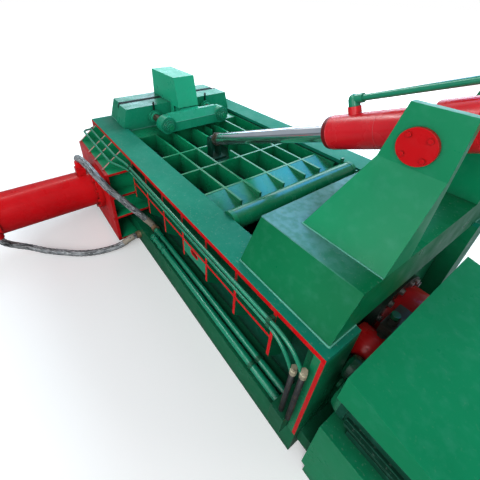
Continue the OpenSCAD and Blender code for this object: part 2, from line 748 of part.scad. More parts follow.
// Box beam on the lid front that guides the lock rods, in two halves
lid_box_x0 = front_x + 204;
lid_box_x1 = front_x + 397;
module lid_lock_box() {
  inner = guard_w / 2 + 0.5;
  rest = rail_top + 1;
  color(green) both_sides() difference() {
    along_x(lid_box_x0, lid_box_x1) polygon([[-lid_half, rib_top], [-inner, rib_top], [-inner, lock_top],
      [-wall_in + 12, lock_top], [-wall_in - 28, rest], [-lid_half, rest]]);
    rod_x(lid_box_x0 - 1, lid_box_x1 + 1, -lock_rod_y, lock_z, lock_rod_r + 0.08);
  }
}

module lid_hinge_tube() {
  tube_half = wall_in - bracket_t - 1;
  color(green) difference() {
    union() {
      rod_y(hinge_x, -tube_half, tube_half, hinge_z, hinge_r);
      for (y = [-lid_rib_outer, 0, lid_rib_outer]) along_y(y - 20, y + 20)
        polygon([[lid_back, skin_top], [lid_back, skin_low], [hinge_x - 40, hinge_z - 62], [hinge_x - 40, hinge_z - 30]]);
    }
    rod_y(hinge_x, -tube_half - 1, tube_half + 1, hinge_z, hinge_shaft_r + hinge_fit);
  }
}

// Two plates that carry the pin end of the lid cylinder
clevis_gap = 32;
clevis_t = 18;
clevis_r = 34;
pin_r = 18;
module lid_clevis() {
  color(dark_steel) {
    both_sides() difference() {
      union() {
        box(eye_x - clevis_r, eye_x + clevis_r, -clevis_gap - clevis_t, -clevis_gap, skin_top, eye_z);
        rod_y(eye_x, -clevis_gap - clevis_t, -clevis_gap, eye_z, clevis_r);
      }
      rod_y(eye_x, -clevis_gap - clevis_t - 1, -clevis_gap + 1, eye_z, pin_r);
    }
    both_sides() rod_y(eye_x, -clevis_gap - clevis_t - 8, -clevis_gap, eye_z, pin_r);
    box(eye_x - 60, eye_x + 70, -pocket_half + 30, pocket_half - 30, skin_top, skin_top + 16);
  }
}

guide_t = 30;
module lock_guides() {
  color(green) both_sides() difference() {
    rod_x(lid_box_x1, lid_box_x1 + guide_t, -lock_rod_y, lock_z, 58);
    rod_x(lid_box_x1 - 1, lid_box_x1 + guide_t + 1, -lock_rod_y, lock_z, lock_rod_r + 0.08);
  }
}

// Guard housing over the lock cylinder, open at the lower front where the yoke enters
guard_x0 = front_x + 49;
guard_front_top = front_x + 490;
guard_front_low = front_x + 556;
guard_mouth_x = front_x + 464;
guard_mouth_z = rail_top + 144;
guard_top = rail_top + guard_h;
guard_front_rise = guard_top - lock_top;
module guard_outline(inset) {
  front_at_mouth = guard_front_low - (guard_front_low - guard_front_top) * (guard_mouth_z - lock_top) / guard_front_rise;
  past = inset > 0 ? 5 : 0;
  mouth_x = guard_mouth_x - (inset > 0 ? 1 : 0);
  polygon([[guard_x0 + inset, lock_top + 1 - past], [guard_x0 + inset, guard_top - inset],
    [guard_front_top - inset, guard_top - inset], [front_at_mouth - inset, guard_mouth_z - past],
    [mouth_x, guard_mouth_z - past], [mouth_x, lock_top + 1 - past]]);
}
module lock_guard() {
  half = guard_w / 2;
  color(green) {
    difference() {
      along_y(-half, half) guard_outline(0);
      along_y(-half + guard_t, half - guard_t) guard_outline(guard_t);
    }
    both_sides() box(lid_box_x0, guard_mouth_x, -half, -half + guard_t, rib_top, lock_top + 2);
    both_sides() box(lid_box_x0 + 20, lid_box_x0 + 60, -half + guard_t, -50, lock_cyl_z - 44, lock_cyl_z - 20);
  }
}

lock_cyl_z = rail_top + 262;
lug_front = front_x + 474;
lug_len = 44;
module lock_cylinder_barrel() {
  color(red) difference() {
    union() {
      rod_x(guard_x0 + guard_t, lug_front - lug_len - lock_stroke - 12, 0, lock_cyl_z, 40);
      box(guard_x0 + 60, guard_x0 + 100, -guard_w / 2 + guard_t, guard_w / 2 - guard_t, lock_cyl_z - 20, lock_cyl_z + 20);
    }
    rod_x(guard_x0 + 40, lug_front - lug_len, 0, lock_cyl_z, 18.08);
  }
}

// Yoke: arched cross bar with two hubs, a crosshead under the guard and the cylinder rod
yoke_x0 = front_x + 598;
yoke_x1 = front_x + 688;
yoke_low = rib_top + 28;
module lock_yoke() {
  head = guard_w / 2 - guard_t - 3;
  peak = guard_mouth_z - 6;
  hub_r = 72;
  color(green) difference() {
    union() {
      intersection() {
        along_x(yoke_x0, yoke_x1) polygon([[-lock_rod_y, lock_z - 62], [-130, yoke_low], [130, yoke_low],
          [lock_rod_y, lock_z - 62], [lock_rod_y + 40, lock_z + 20], [lock_rod_y - 30, peak],
          [-lock_rod_y + 30, peak], [-lock_rod_y - 40, lock_z + 20]]);
        along_y(-lock_rod_y - 80, lock_rod_y + 80) polygon([[yoke_x0, yoke_low - 1], [yoke_x1, yoke_low - 1],
          [yoke_x1, lock_z + 18], [yoke_x0 + 34, peak], [yoke_x0, peak]]);
      }
      for (s = [-1, 1]) rod_x(yoke_x0, yoke_x1, s * lock_rod_y, lock_z, hub_r);
      box(lug_front - 4, yoke_x0 + eps, -head, head, yoke_low + 4, peak);
      box(lug_front - lug_len, lug_front, -46, 46, yoke_low + 60, lock_cyl_z + 30);
    }
    for (s = [-1, 1]) rod_x(yoke_x0 - 1, yoke_x1 + 1, s * lock_rod_y, lock_z, lock_rod_r);
  }
  color(chrome) rod_x(guard_x0 + 170, lug_front - lug_len, 0, lock_cyl_z, 18);
}
// The rods step down to a stud that takes the stepped nuts
stud_r = 20;
stud_out = 62;
module lock_rods() {
  color(dark_steel) both_sides() {
    rod_x(lid_box_x0 + 8, yoke_x1, -lock_rod_y, lock_z, lock_rod_r);
    rod_x(yoke_x1 - eps, yoke_x1 + stud_out, -lock_rod_y, lock_z, stud_r);
  }
}
module lock_nuts() {
  color(green) both_sides() difference() {
    union() {
      rod_x(yoke_x1, yoke_x1 + 14, -lock_rod_y, lock_z, 56);
      rod_x(yoke_x1 + 14 - eps, yoke_x1 + 30, -lock_rod_y, lock_z, 44);
      translate([yoke_x1 + 30 - eps, -lock_rod_y, lock_z]) rotate([0, 90, 0]) cylinder(r = 38, h = 18, $fn = 6);
    }
    rod_x(yoke_x1 - 1, yoke_x1 + stud_out, -lock_rod_y, lock_z, stud_r);
  }
}

// Places its children on the line of the lid cylinder, with local Z pointing up the line
module on_line(s) {
  translate([eye_x, 0, eye_z]) rotate([0, 90 - lift, 0]) translate([0, 0, s]) children();
}
port_s = gland_s + 140;
back_s = gland_s + lid_barrel_len - 75;
module lid_cylinder_barrel() {
  color(red) difference() {
    union() {
      on_line(gland_s + 22) cylinder(r = lid_barrel_r, h = lid_barrel_len - 22);
      on_line(gland_s + lid_barrel_len - 30) cylinder(r = lid_barrel_r + 8, h = 30);
      on_line(trunnion_s - 70) cylinder(r = lid_barrel_r + 14, h = 140);
      on_line(port_s) rotate([0, -90, 0]) cylinder(r = 30, h = 118);
      on_line(back_s) rotate([0, -90, 0]) cylinder(r = 26, h = 118);
      rod_y(trunnion_x, -stand_fold_y + 2, stand_fold_y - 2, trunnion_z, trunnion_r);
    }
    on_line(gland_s + 10) cylinder(r = lid_bore_r, h = lid_barrel_len - 50);
  }
}
module lid_cylinder_gland() {
  color(dark_steel) on_line(gland_s) difference() {
    union() {
      cylinder(r = lid_barrel_r - 2, h = 22);
      translate([0, 0, 22]) cylinder(r = lid_bore_r - 0.05, h = 50);
    }
    translate([0, 0, -1]) cylinder(r = lid_rod_r + 0.06, h = 80);
  }
}
module lid_cylinder_pipe() {
  pipe_x = -150;
  color(bright_green) {
    for (s = [port_s, back_s]) on_line(s) {
      translate([-118, 0, 0]) rotate([0, -90, 0]) cylinder(r = 26, h = 32);
      translate([pipe_x, 0, 0]) sphere(r = 25);
    }
    on_line(port_s) translate([pipe_x, 0, 0]) cylinder(r = 22, h = 48);
    on_line(port_s) translate([pipe_x, 0, 0]) cylinder(r = 15, h = back_s - port_s);
    on_line(back_s - 44) translate([pipe_x, 0, 0]) cylinder(r = 22, h = 44);
  }
}
rod_start = 40;
module lid_cylinder_rod() {
  color(chrome) {
    on_line(rod_start) cylinder(r = lid_rod_r, h = gland_s + 160 - rod_start);
    on_line(gland_s + 90) cylinder(r = lid_bore_r - 0.06, h = 60);
  }
  color(dark_steel) {
    difference() {
      union() {
        rod_y(eye_x, -clevis_gap + 3, clevis_gap - 3, eye_z, clevis_r + 2);
        on_line(16) cylinder(r = 26, h = rod_start - 16 + eps);
        on_line(rod_start) cylinder(r = lid_rod_r + 5, h = 20);
      }
      rod_y(eye_x, -clevis_gap, clevis_gap, eye_z, pin_r + 0.06);
    }
  }
}
module rod_pin() { color(steel) rod_y(eye_x, -clevis_gap + 1, clevis_gap - 1, eye_z, pin_r); }

// Main ram: hollow block with a face plate, and its rod
module main_ram() {
  half = wall_in - ram_gap;
  back = main_face + main_body;
  color(dark_steel) difference() {
    box(main_face, back, -half, half, ram_low, ram_high);
    for (s = [-1, 1]) box(main_face + 60, back + 1, s > 0 ? main_rod_r + 40 : -half + 30,
      s > 0 ? half - 30 : -main_rod_r - 40, ram_low + 30, ram_high - 30);
  }
  color(chrome) rod_x(back - eps, rear_out + main_stroke + 180, 0, ram_z, main_rod_r);
  color(steel) rod_x(rear_out + main_stroke + 90, rear_out + main_stroke + 180, 0, ram_z, main_barrel_r - 32.06);
}

// Side ram: hollow block with a face plate, and its rod
module side_ram() {
  half = side_open - ram_gap;
  back = side_out - side_plate_t - 6;
  color(dark_steel) difference() {
    box(side_x - half, side_x + half, -back, -wall_in, ram_low, ram_high);
    for (s = [-1, 1]) box(side_x + (s > 0 ? side_rod_r + 25 : -half + 25), side_x + (s > 0 ? half - 25 : -side_rod_r - 25),
      -back - 1, -wall_in - 60, ram_low + 25, ram_high - 25);
  }
  color(chrome) rod_y(side_x, -side_out - side_stroke - 150, -back + eps, side_z, side_rod_r);
  color(steel) rod_y(side_x, -side_out - side_stroke - 150, -side_out - side_stroke - 80, side_z, side_barrel_r - 22.06);
}

base_frame();
chamber_floor();
near_side_wall();
far_side_wall();
near_rail();
far_rail();
near_rib_frame();
far_rib_frame();
side_panel();
end_wall();
rear_wall();
lock_beam();
hinge_brackets();
hinge_shaft();
ram_hood();
near_trunnion_stand();
far_trunnion_stand();
trunnion_caps();
cap_bolts();
side_ram_box();
side_cylinder_barrel();
side_flange_bolts();
side_port_block();
main_cylinder_barrel();
main_flange_bolts();
main_port_block();
thin_pipes();
thick_pipes();
pipe_clamps();
pipe_couplings();
pipe_manifold();
hose_upper();
hose_lower();
hose_fittings();
gate_guides();
gate_cylinder_barrel();
power_unit_tank();
console_cover();
pump_motor();
hydraulic_pump();
lid_grid();
lid_skin();
lid_lock_box();
lid_hinge_tube();
lid_clevis();
lock_guides();
lock_guard();
lock_cylinder_barrel();
lock_yoke();
lock_rods();
lock_nuts();
lid_cylinder_barrel();
lid_cylinder_gland();
lid_cylinder_pipe();
lid_cylinder_rod();
rod_pin();
main_ram();
side_ram();
exit_gate();
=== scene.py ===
"""Looks of a horizontal scrap baler: paint, chrome, sleeved hoses, weld beads and small fittings."""

import bpy
import numpy as np
from mathutils import Matrix, Vector


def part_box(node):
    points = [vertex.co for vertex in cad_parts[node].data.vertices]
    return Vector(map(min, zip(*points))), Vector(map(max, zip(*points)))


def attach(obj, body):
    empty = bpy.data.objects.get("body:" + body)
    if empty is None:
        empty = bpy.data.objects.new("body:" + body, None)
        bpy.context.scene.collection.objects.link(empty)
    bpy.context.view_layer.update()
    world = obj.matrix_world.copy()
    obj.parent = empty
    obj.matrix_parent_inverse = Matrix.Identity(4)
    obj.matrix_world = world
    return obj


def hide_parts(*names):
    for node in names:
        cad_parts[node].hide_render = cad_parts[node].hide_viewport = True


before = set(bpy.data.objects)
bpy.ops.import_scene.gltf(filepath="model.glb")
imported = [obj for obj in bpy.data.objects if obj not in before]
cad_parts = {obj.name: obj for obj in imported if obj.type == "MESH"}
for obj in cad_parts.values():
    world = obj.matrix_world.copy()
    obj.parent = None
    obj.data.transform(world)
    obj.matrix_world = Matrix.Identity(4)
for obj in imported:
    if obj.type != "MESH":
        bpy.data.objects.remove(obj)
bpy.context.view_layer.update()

bl_info = {
    "name": "Scrap baler finish",
    "version": (1, 0, 0),
    "blender": (4, 5, 0),
    "location": "3D View > Sidebar > Baler",
    "description": "Paint, hoses, weld beads and fittings for a horizontal scrap baler",
    "category": "Object",
}

NEAR_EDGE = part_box("near_rail")[0].y
RAIL_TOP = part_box("near_rail")[1].z
CHAMBER_HALF = -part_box("near_rail")[1].y

# A face this close to a plane counts as lying on it, in metres
HAIR = 0.0008

# Colours of dust, of a painted sheen in the mottling and of chipped edges with a painted highlight, on red
# and on green paint
RED_WEAR_AND_LIGHT = {"dust": (0.34, 0.20, 0.17), "sheen": (0.60, 0.10, 0.10), "edge": (0.75, 0.13, 0.11)}
GREEN_WEAR_AND_LIGHT = {"dust": (0.25, 0.36, 0.30), "sheen": (0.16, 0.50, 0.44), "edge": (0.10, 0.44, 0.30)}
# Painted shade in corners, with grime
CORNER_SHADE_AND_GRIME = (0.010, 0.020, 0.014)

# Paint colours of single pieces, some lighter or darker than the machine's paint for painted light and shade,
# as marked
# The hood's green, darker than the machine green, is painted shade; its pale second colour is a painted
# reflection
HOOD_GREEN, HOOD_SHEEN = (0.001, 0.182, 0.066), (0.135, 0.360, 0.370)
# Darker copy of the machine green for the base: painted shade
BASE_GREEN = (0.001, 0.135, 0.055)
# Near-black green of the clevis in its pocket: painted shade
CLEVIS_GREEN = (0.004, 0.060, 0.036)
# Lighter than the machine green: a painted highlight along the beads
BEAD_GREEN = (0.120, 0.480, 0.350)
# Near-black of the slit's painted shadow
SLIT_SHADOW = (0.004, 0.012, 0.010)
# Lighter than the machine red: painted light on the lid cylinder's barrel
BARREL_RED = (0.820, 0.010, 0.020)
RING_RED = (0.900, 0.110, 0.130)
GLAND_RED = (0.18, 0.004, 0.006)
# The main cylinder's red, lighter than the machine red, is painted light; its flange colour is painted shade
MAIN_RED, FLANGE_SHADE = (0.800, 0.004, 0.010), (0.010, 0.030, 0.020)
# The pot's red, lighter than the machine red, is painted light; its underside colour is painted shade
POT_RED, POT_SHADE = (0.900, 0.010, 0.014), (0.020, 0.002, 0.003)

# Colours of bare metal, rubber, tape and hose sleeves
OILY_STEEL = (0.100, 0.110, 0.090)
RAM_STEEL = (0.090, 0.085, 0.080)
TURNED_STEEL = (0.50, 0.49, 0.46)
RUSTY_ZINC = (0.46, 0.30, 0.18)
ZINC = (0.74, 0.66, 0.46)
NIPPLE_BLACK = (0.030, 0.030, 0.032)
RUBBER = (0.022, 0.024, 0.026)
TAPE_GREY = (0.44, 0.38, 0.30)
# The sleeve's pale colour is a painted highlight
SLEEVE_DARK, SLEEVE_HIGHLIGHT = (0.030, 0.034, 0.036), (0.42, 0.45, 0.47)

# Hose routes in metres, as the solid hoses follow them, and the sides of a sleeve
UPPER_ROUTE = [
    (-0.868, -1.010, 0.726), (-0.800, -1.002, 0.742), (-0.700, -0.993, 0.752), (-0.590, -0.980, 0.745),
    (-0.500, -0.952, 0.695), (-0.453, -0.905, 0.605), (-0.415, -0.850, 0.533), (-0.368, -0.800, 0.462),
    (-0.342, -0.745, 0.385), (-0.340, -0.695, 0.305), (-0.338, -0.660, 0.250), (-0.326, -0.648, 0.226),
    (-0.308, -0.648, 0.224),
]
LOWER_ROUTE = [
    (-0.448, -0.770, 0.088), (-0.448, -0.830, 0.078), (-0.452, -0.900, 0.048), (-0.470, -0.990, 0.032),
    (-0.505, -1.120, 0.029), (-0.570, -1.240, 0.029), (-0.660, -1.350, 0.029), (-0.740, -1.450, 0.036),
    (-0.790, -1.540, 0.080), (-0.800, -1.610, 0.130), (-0.790, -1.665, 0.185), (-0.772, -1.694, 0.236),
    (-0.768, -1.700, 0.262), (-0.768, -1.700, 0.285),
]
HOSE_SIDES = 32

# The taped part of each hose, as shares of its length, and its radius
TAPED = ((UPPER_ROUTE, 0.87, 0.975), (LOWER_ROUTE, 0.02, 0.105))
TAPE_RADIUS = 0.0272

# Corners of the two small pipes: those of the solid pipes, but for the last bends
PIPE_A = [
    (-1.262, -0.575, 0.803), (-1.262, -0.783, 0.803), (-0.563, -0.783, 0.803), (-0.405, -0.759, 0.805),
    (1.170, -0.759, 0.805), (1.240, -0.759, 0.783), (1.306, -0.759, 0.712), (1.306, -0.759, 0.330),
]
PIPE_B = [
    (-1.322, -0.733, 0.767), (-1.322, -0.832, 0.767), (-0.583, -0.832, 0.767), (-0.378, -0.759, 0.770),
    (1.140, -0.759, 0.770), (1.208, -0.759, 0.730), (1.266, -0.759, 0.655), (1.266, -0.759, 0.330),
]

# Each small pipe with the height at which its nut begins
SMALL_PIPES = ((PIPE_A, 0.742), (PIPE_B, 0.700))

# Turned pieces: rows of distance along the axis and radius
NUT_HEX = [(0.0, 0.0130), (0.014, 0.0130)]
NUT_SLEEVE = [(0.014, 0.010), (0.018, 0.010), (0.020, 0.0140), (0.044, 0.0140), (0.046, 0.012)]
STUB_START, STUB_RADIUS = 0.044, 0.0115
COUPLING_NUT = [(0.0, 0.024), (0.003, 0.0275), (0.017, 0.0275), (0.020, 0.024)]
COUPLING_COLLAR = [(0.0, 0.024), (0.008, 0.030), (0.014, 0.030)]
MOTOR_BELL = [(0.0, 0.030), (0.004, 0.058), (0.010, 0.080), (0.030, 0.090), (0.044, 0.094)]
MOTOR_HUB = [(0.0, 0.022), (0.016, 0.026)]
RETURN_POT = [
    (0.0, 0.045), (0.024, 0.045), (0.026, 0.074), (0.032, 0.080), (0.142, 0.080), (0.148, 0.075),
    (0.156, 0.075),
]
NIPPLE = [(0.0, 0.006), (0.050, 0.006), (0.052, 0.010), (0.062, 0.010), (0.078, 0.005)]
GUIDE_RING = [(0.0, 0.0465), (0.010, 0.0455), (0.014, 0.040)]

# Where the coupling nuts and the collar sit along the inner and the outer thick pipe
INNER_NUTS, OUTER_NUTS = (-0.262, -0.232), (-0.206, -0.176, -0.093, -0.020)
COLLAR_X = -0.215
THICK_RADIUS = 0.021

# The valve behind the rear wall, as cap, post, nut and stub: place, axis, profile and sides
VALVE = (
    ((1.334, -0.470, 0.531), (1, 0, 0),
     [(0.0, 0.020), (0.004, 0.040), (0.012, 0.053), (0.026, 0.058), (0.058, 0.058)], 40),
    ((1.367, -0.245, 0.640), (0, 0, 1), [(0.0, 0.014), (0.060, 0.014), (0.062, 0.019), (0.082, 0.019)], 16),
    ((1.367, -0.322, 0.590), (0, -1, 0), [(0.0, 0.026), (0.018, 0.026)], 6),
    ((1.367, -0.338, 0.590), (0, -1, 0), [(0.0, 0.014), (0.060, 0.014)], 16),
)

# Axis of the return pot
POT_Y, POT_Z = -0.341, 0.547

# Distance of each lock rod from the middle plane
ROD_SIDE = 0.272

# The lid cylinder's line in the XZ plane, from the rod eye to the trunnion pivot, and the barrel's seam rings
EYE = (-0.380, 0.829)
PIVOT = (1.20992, 1.46497)
SEAMS = (1.178, 1.422)
BARREL_RADIUS, SEAM_WIRE = 0.0860, 0.0009

# Directions of the picture's right and upper edges, and the sensor's width in millimetres
CAMERA_RIGHT = (0.56940312, 0.82192587, 0.014763)
CAMERA_UP = (-0.47287853, 0.3127991, 0.82373698)
SENSOR = 36.0

# Floor: half its side and how far it lies under the machine
FLOOR_HALF, FLOOR_DROP = 60.0, 0.002

# Lamps point at this place in the machine and are white unless tinted
AIM = (0.2, 0.0, 0.7)
WHITE = (1.0, 1.0, 1.0)


def colour_field(name, description, default):
    """A colour in the panel"""
    return bpy.props.FloatVectorProperty(name=name, description=description, default=default, subtype="COLOR")


def length_field(name, description, default):
    """A length in the panel"""
    return bpy.props.FloatProperty(name=name, description=description, default=default, unit="LENGTH")


def power_field(name, description, default):
    """A lamp's power in the panel"""
    return bpy.props.FloatProperty(name=name, description=description, default=default, unit="POWER")


def share_field(name, description, default):
    """A share from 0 to 1 in the panel"""
    return bpy.props.FloatProperty(name=name, description=description, default=default, min=0.0, max=1.0)


class BalerPaint(bpy.types.PropertyGroup):
    """Colours of the painted pieces and the rounding of their edges"""

    green: colour_field("Machine green", "Paint of the body and the lid", (0.002, 0.225, 0.092))
    # Bluer than the machine green: a painted reflection of the sky on the rails
    rail_sheen_green: colour_field("Rail green", "Slightly bluer paint of the top rails", (0.004, 0.232, 0.142))
    # Lighter than the machine green: painted light on the lid's lock
    lit_lock_green: colour_field("Lock green", "Lighter paint of the lid's lock", (0.010, 0.350, 0.190))
    # Lighter than the machine green: painted light on the pipes and the cover panel
    lit_pipe_green: colour_field("Pipe green", "Paint of the pipes and the cover panel", (0.004, 0.265, 0.140))
    # Darker than the machine green: painted shade of the deep bays and the inside of the body
    shaded_chamber_green: colour_field("Chamber green", "Dull paint inside the body", (0.001, 0.060, 0.032))
    red: colour_field("Machine red", "Paint of the cylinders and the plate edges", (0.680, 0.002, 0.006))
    primer: colour_field("Gusset edge", "Pale pink edge of the gussets", (0.62, 0.36, 0.31))
    edge_round: length_field("Edge rounding", "Radius at which plate edges catch the light", 0.0025)


class BalerHoses(bpy.types.PropertyGroup):
    """Sizes of the sleeved hoses"""

    diameter: length_field("Sleeve diameter", "Outer diameter of the sleeved hose", 0.054)
    wrap_pitch: length_field("Wrap pitch", "Distance between the turns of the wrapped sleeve", 0.034)
    crinkle: length_field("Crinkle", "Height of the folds in the sleeve", 0.0016)


class BalerWelds(bpy.types.PropertyGroup):
    """Sizes of the weld beads"""

    bead: length_field("Bead radius", "Half the width of a weld bead", 0.0045)
    ripple: length_field("Ripple pitch", "Distance between the ripples of a bead", 0.007)


class BalerFittings(bpy.types.PropertyGroup):
    """Sizes of the small pipes"""

    pipe_radius: length_field("Pipe radius", "Outer radius of the small pipes", 0.009)
    bend: length_field("Bend", "Distance from a corner at which a pipe starts to bend", 0.050)


class BalerStage(bpy.types.PropertyGroup):
    """Camera, floor and lights"""

    camera_place: bpy.props.FloatVectorProperty(
        name="Camera place", description="Where the photograph was taken from",
        default=(1.55, -1.33, 1.85), subtype="TRANSLATION",
    )
    lens: bpy.props.FloatProperty(name="Lens", description="Focal length in millimetres", default=22.39)
    shift: bpy.props.FloatVectorProperty(
        name="Shift", description="Shift of the lens sideways and up", size=2, default=(0.0486, -0.0891)
    )
    floor_tone: share_field("Floor tone", "Brightness of the floor", 0.80)
    floor_bounce: share_field("Floor bounce", "Share of light the floor throws back", 0.30)
    key_power: power_field("Key light", "Power of the window side light", 620.0)
    fill_power: power_field("Fill light", "Power of the near side light", 165.0)
    low_power: power_field("Low light", "Power of the low light on the near side", 30.0)
    band_power: power_field("Window band", "Power of the windows that glossy faces mirror", 330.0)
    sky_power: power_field("Roof light", "Power of the blue light that glossy faces mirror", 380.0)
    rod_power: power_field("Rod shine", "Power of the light that the chrome rod mirrors", 95.0)
    pipe_power: power_field("Pipe shine", "Power of the light that the small pipes mirror", 190.0)


def settings(name):
    """The scene's settings group of that name"""
    return getattr(bpy.context.scene, name)


def shade(colour, factor):
    """The colour made darker or lighter by the factor"""
    return tuple(channel * factor for channel in colour)


class Graph:
    """The nodes of a new material, or of a new world, with short calls for the nodes that it uses"""

    def __init__(self, name, owners=None):
        self.owner = (bpy.data.materials if owners is None else owners).new(name)
        self.owner.use_nodes = True
        self.tree = self.owner.node_tree
        self.tree.nodes.clear()
        self.place = self.add("ShaderNodeTexCoord").outputs["Object"]

    def add(self, kind, options=(), **inputs):
        """A new node with options and inputs set"""
        made = self.tree.nodes.new(kind)
        for key, value in dict(options).items():
            setattr(made, key, value)
        for key, value in inputs.items():
            self.put(made.inputs[key.replace("_", " ")], value)
        return made

    def put(self, socket, value):
        """Links an output to the socket, or sets its constant"""
        if isinstance(value, bpy.types.NodeSocket):
            self.tree.links.new(value, socket)
        elif socket.type == "RGBA" and len(value) == 3:
            socket.default_value = (*value, 1.0)
        else:
            socket.default_value = value

    def feed(self, node, *values):
        """The node's first output, with the values on its first inputs"""
        for socket, value in zip(node.inputs, values):
            self.put(socket, value)
        return node.outputs[0]

    def math(self, operation, a, b=0.0):
        """The result of one sum"""
        return self.feed(self.add("ShaderNodeMath", {"operation": operation}), a, b)

    def times(self, a, b):
        """a times b"""
        return self.math("MULTIPLY", a, b)

    def gap(self, value, place):
        """How far the value is from the place"""
        return self.math("ABSOLUTE", self.math("SUBTRACT", value, place))

    def mix(self, factor, a, b):
        """Colour a at factor 0 and colour b at factor 1"""
        made = self.add("ShaderNodeMix", {"data_type": "RGBA"})
        self.put(made.inputs[0], factor)
        self.put(made.inputs[6], a)
        self.put(made.inputs[7], b)
        return made.outputs[2]

    def noise(self, scale, detail=3.0, vector=None):
        """Soft noise in the object's own coordinates, unless others are given"""
        where = self.place if vector is None else vector
        return self.add("ShaderNodeTexNoise", Vector=where, Scale=scale, Detail=detail).outputs[0]

    def remap(self, value, low, high, to_low=0.0, to_high=1.0):
        """The value moved from one range into another and held inside it"""
        return self.feed(self.add("ShaderNodeMapRange"), value, low, high, to_low, to_high)

    def patches(self, scale, detail, low, high, to_low=0.0, to_high=1.0):
        """Noise with its range low to high moved into another one"""
        return self.remap(self.noise(scale, detail), low, high, to_low, to_high)

    def axes(self):
        """The object's own x, y and z"""
        return self.add("ShaderNodeSeparateXYZ", Vector=self.place).outputs

    def bump(self, height, strength, distance, normal=None):
        """A normal bent by the height"""
        made = self.add("ShaderNodeBump", Height=height, Strength=strength, Distance=distance)
        if normal is not None:
            self.put(made.inputs["Normal"], normal)
        return made.outputs[0]

    def finish(self, options=(), **inputs):
        """The material, with its shader on the output"""
        shader = self.add("ShaderNodeBsdfPrincipled", **inputs)
        for key, value in dict(options).items():
            self.put(shader.inputs[key], value)
        self.add("ShaderNodeOutputMaterial", Surface=shader.outputs[0])
        return self.owner


def beyond(graph, axis, limit, above):
    """1 where the object coordinate along axis lies above, or below, the limit"""
    return graph.math("GREATER_THAN" if above else "LESS_THAN", graph.axes()[axis], limit)


def near_edges(graph):
    """Faces on the outer plane of the near side"""
    return beyond(graph, 1, NEAR_EDGE + HAIR, False)


def rear_strip(graph):
    """A narrow strip at the end of the rear wall's near face"""
    width = 0.016
    return graph.times(near_edges(graph), beyond(graph, 0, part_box("rear_wall")[1].x - width, True))


def slit_shadow(graph):
    """The lips of the slit between the lock beam and the lock box, near their tops, where the slit's shadow
    is painted near-black
    """
    half, depth = 0.034, 0.030
    beam_high, box_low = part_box("lock_beam")[1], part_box("lid_lock_box")[0]
    lips = graph.math("LESS_THAN", graph.gap(graph.axes()[0], (beam_high.x + box_low.x) / 2), half)
    return graph.times(lips, beyond(graph, 2, beam_high.z - depth, True))


def flange_shade(graph):
    """The mounting flange of the main cylinder, where near-black shade is painted"""
    flange = 0.045
    return beyond(graph, 0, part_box("main_cylinder_barrel")[0].x + flange + HAIR, False)


def hood_sheen(graph):
    """A pale patchy reflection painted on the hood's top sheet, fading towards the rear and the far side"""
    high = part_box("ram_hood")[1]
    along = graph.remap(graph.axes()[0], high.x - 0.30, high.x - 0.02, 1.0, 0.0)
    across = graph.remap(graph.axes()[1], 0.0, 0.2, 1.0, 0.0)
    patches = graph.patches(30.0, 6.0, 0.34, 0.60, 0.50, 0.92)
    sky_sheen = graph.times(graph.times(along, across), patches)
    return graph.times(beyond(graph, 2, high.z - 0.004, True), sky_sheen)


def pot_shade(graph):
    """The lower half of the red pot, where shade is painted"""
    return graph.remap(graph.axes()[2], POT_Z - 0.047, POT_Z - 0.002, 0.97, 0.0)


def gusset_edges(graph):
    """The sloping top edges of the gussets over the side ram box"""
    rail_low, rail_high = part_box("near_rail")
    foot_y, foot_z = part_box("side_ram_box")[0].y + 0.004, rail_high.z - 0.146
    slope = (rail_low.z - foot_z) / (NEAR_EDGE - foot_y)
    _, y, z = graph.axes()
    line = graph.math("ADD", graph.times(graph.math("SUBTRACT", y, foot_y), slope), foot_z)
    on_line = graph.math("LESS_THAN", graph.gap(z, line), 0.0015)
    return graph.times(on_line, beyond(graph, 2, foot_z + 0.0035, True))


def box_edges(graph):
    """The outer plate of the side ram box and the ends of its shelves"""
    low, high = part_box("side_ram_box")
    thickness = 0.025
    plate = beyond(graph, 1, low.y + thickness + HAIR, False)
    ends = beyond(graph, 0, high.x - HAIR, True)
    return graph.math("MAXIMUM", plate, ends)


def oval_rim(graph):
    """A ring round the hand hole of the cover panel"""
    low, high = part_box("side_panel")
    half_straight, hole_up, rim = 0.018, 0.060, 0.0225
    x, _, z = graph.axes()
    past = graph.math("SUBTRACT", graph.gap(x, (low.x + high.x) / 2), half_straight)
    along = graph.math("POWER", graph.math("MAXIMUM", past, 0.0), 2.0)
    up = graph.math("POWER", graph.math("SUBTRACT", z, low.z + hole_up), 2.0)
    return graph.math("LESS_THAN", graph.math("SQRT", graph.math("ADD", along, up)), rim)


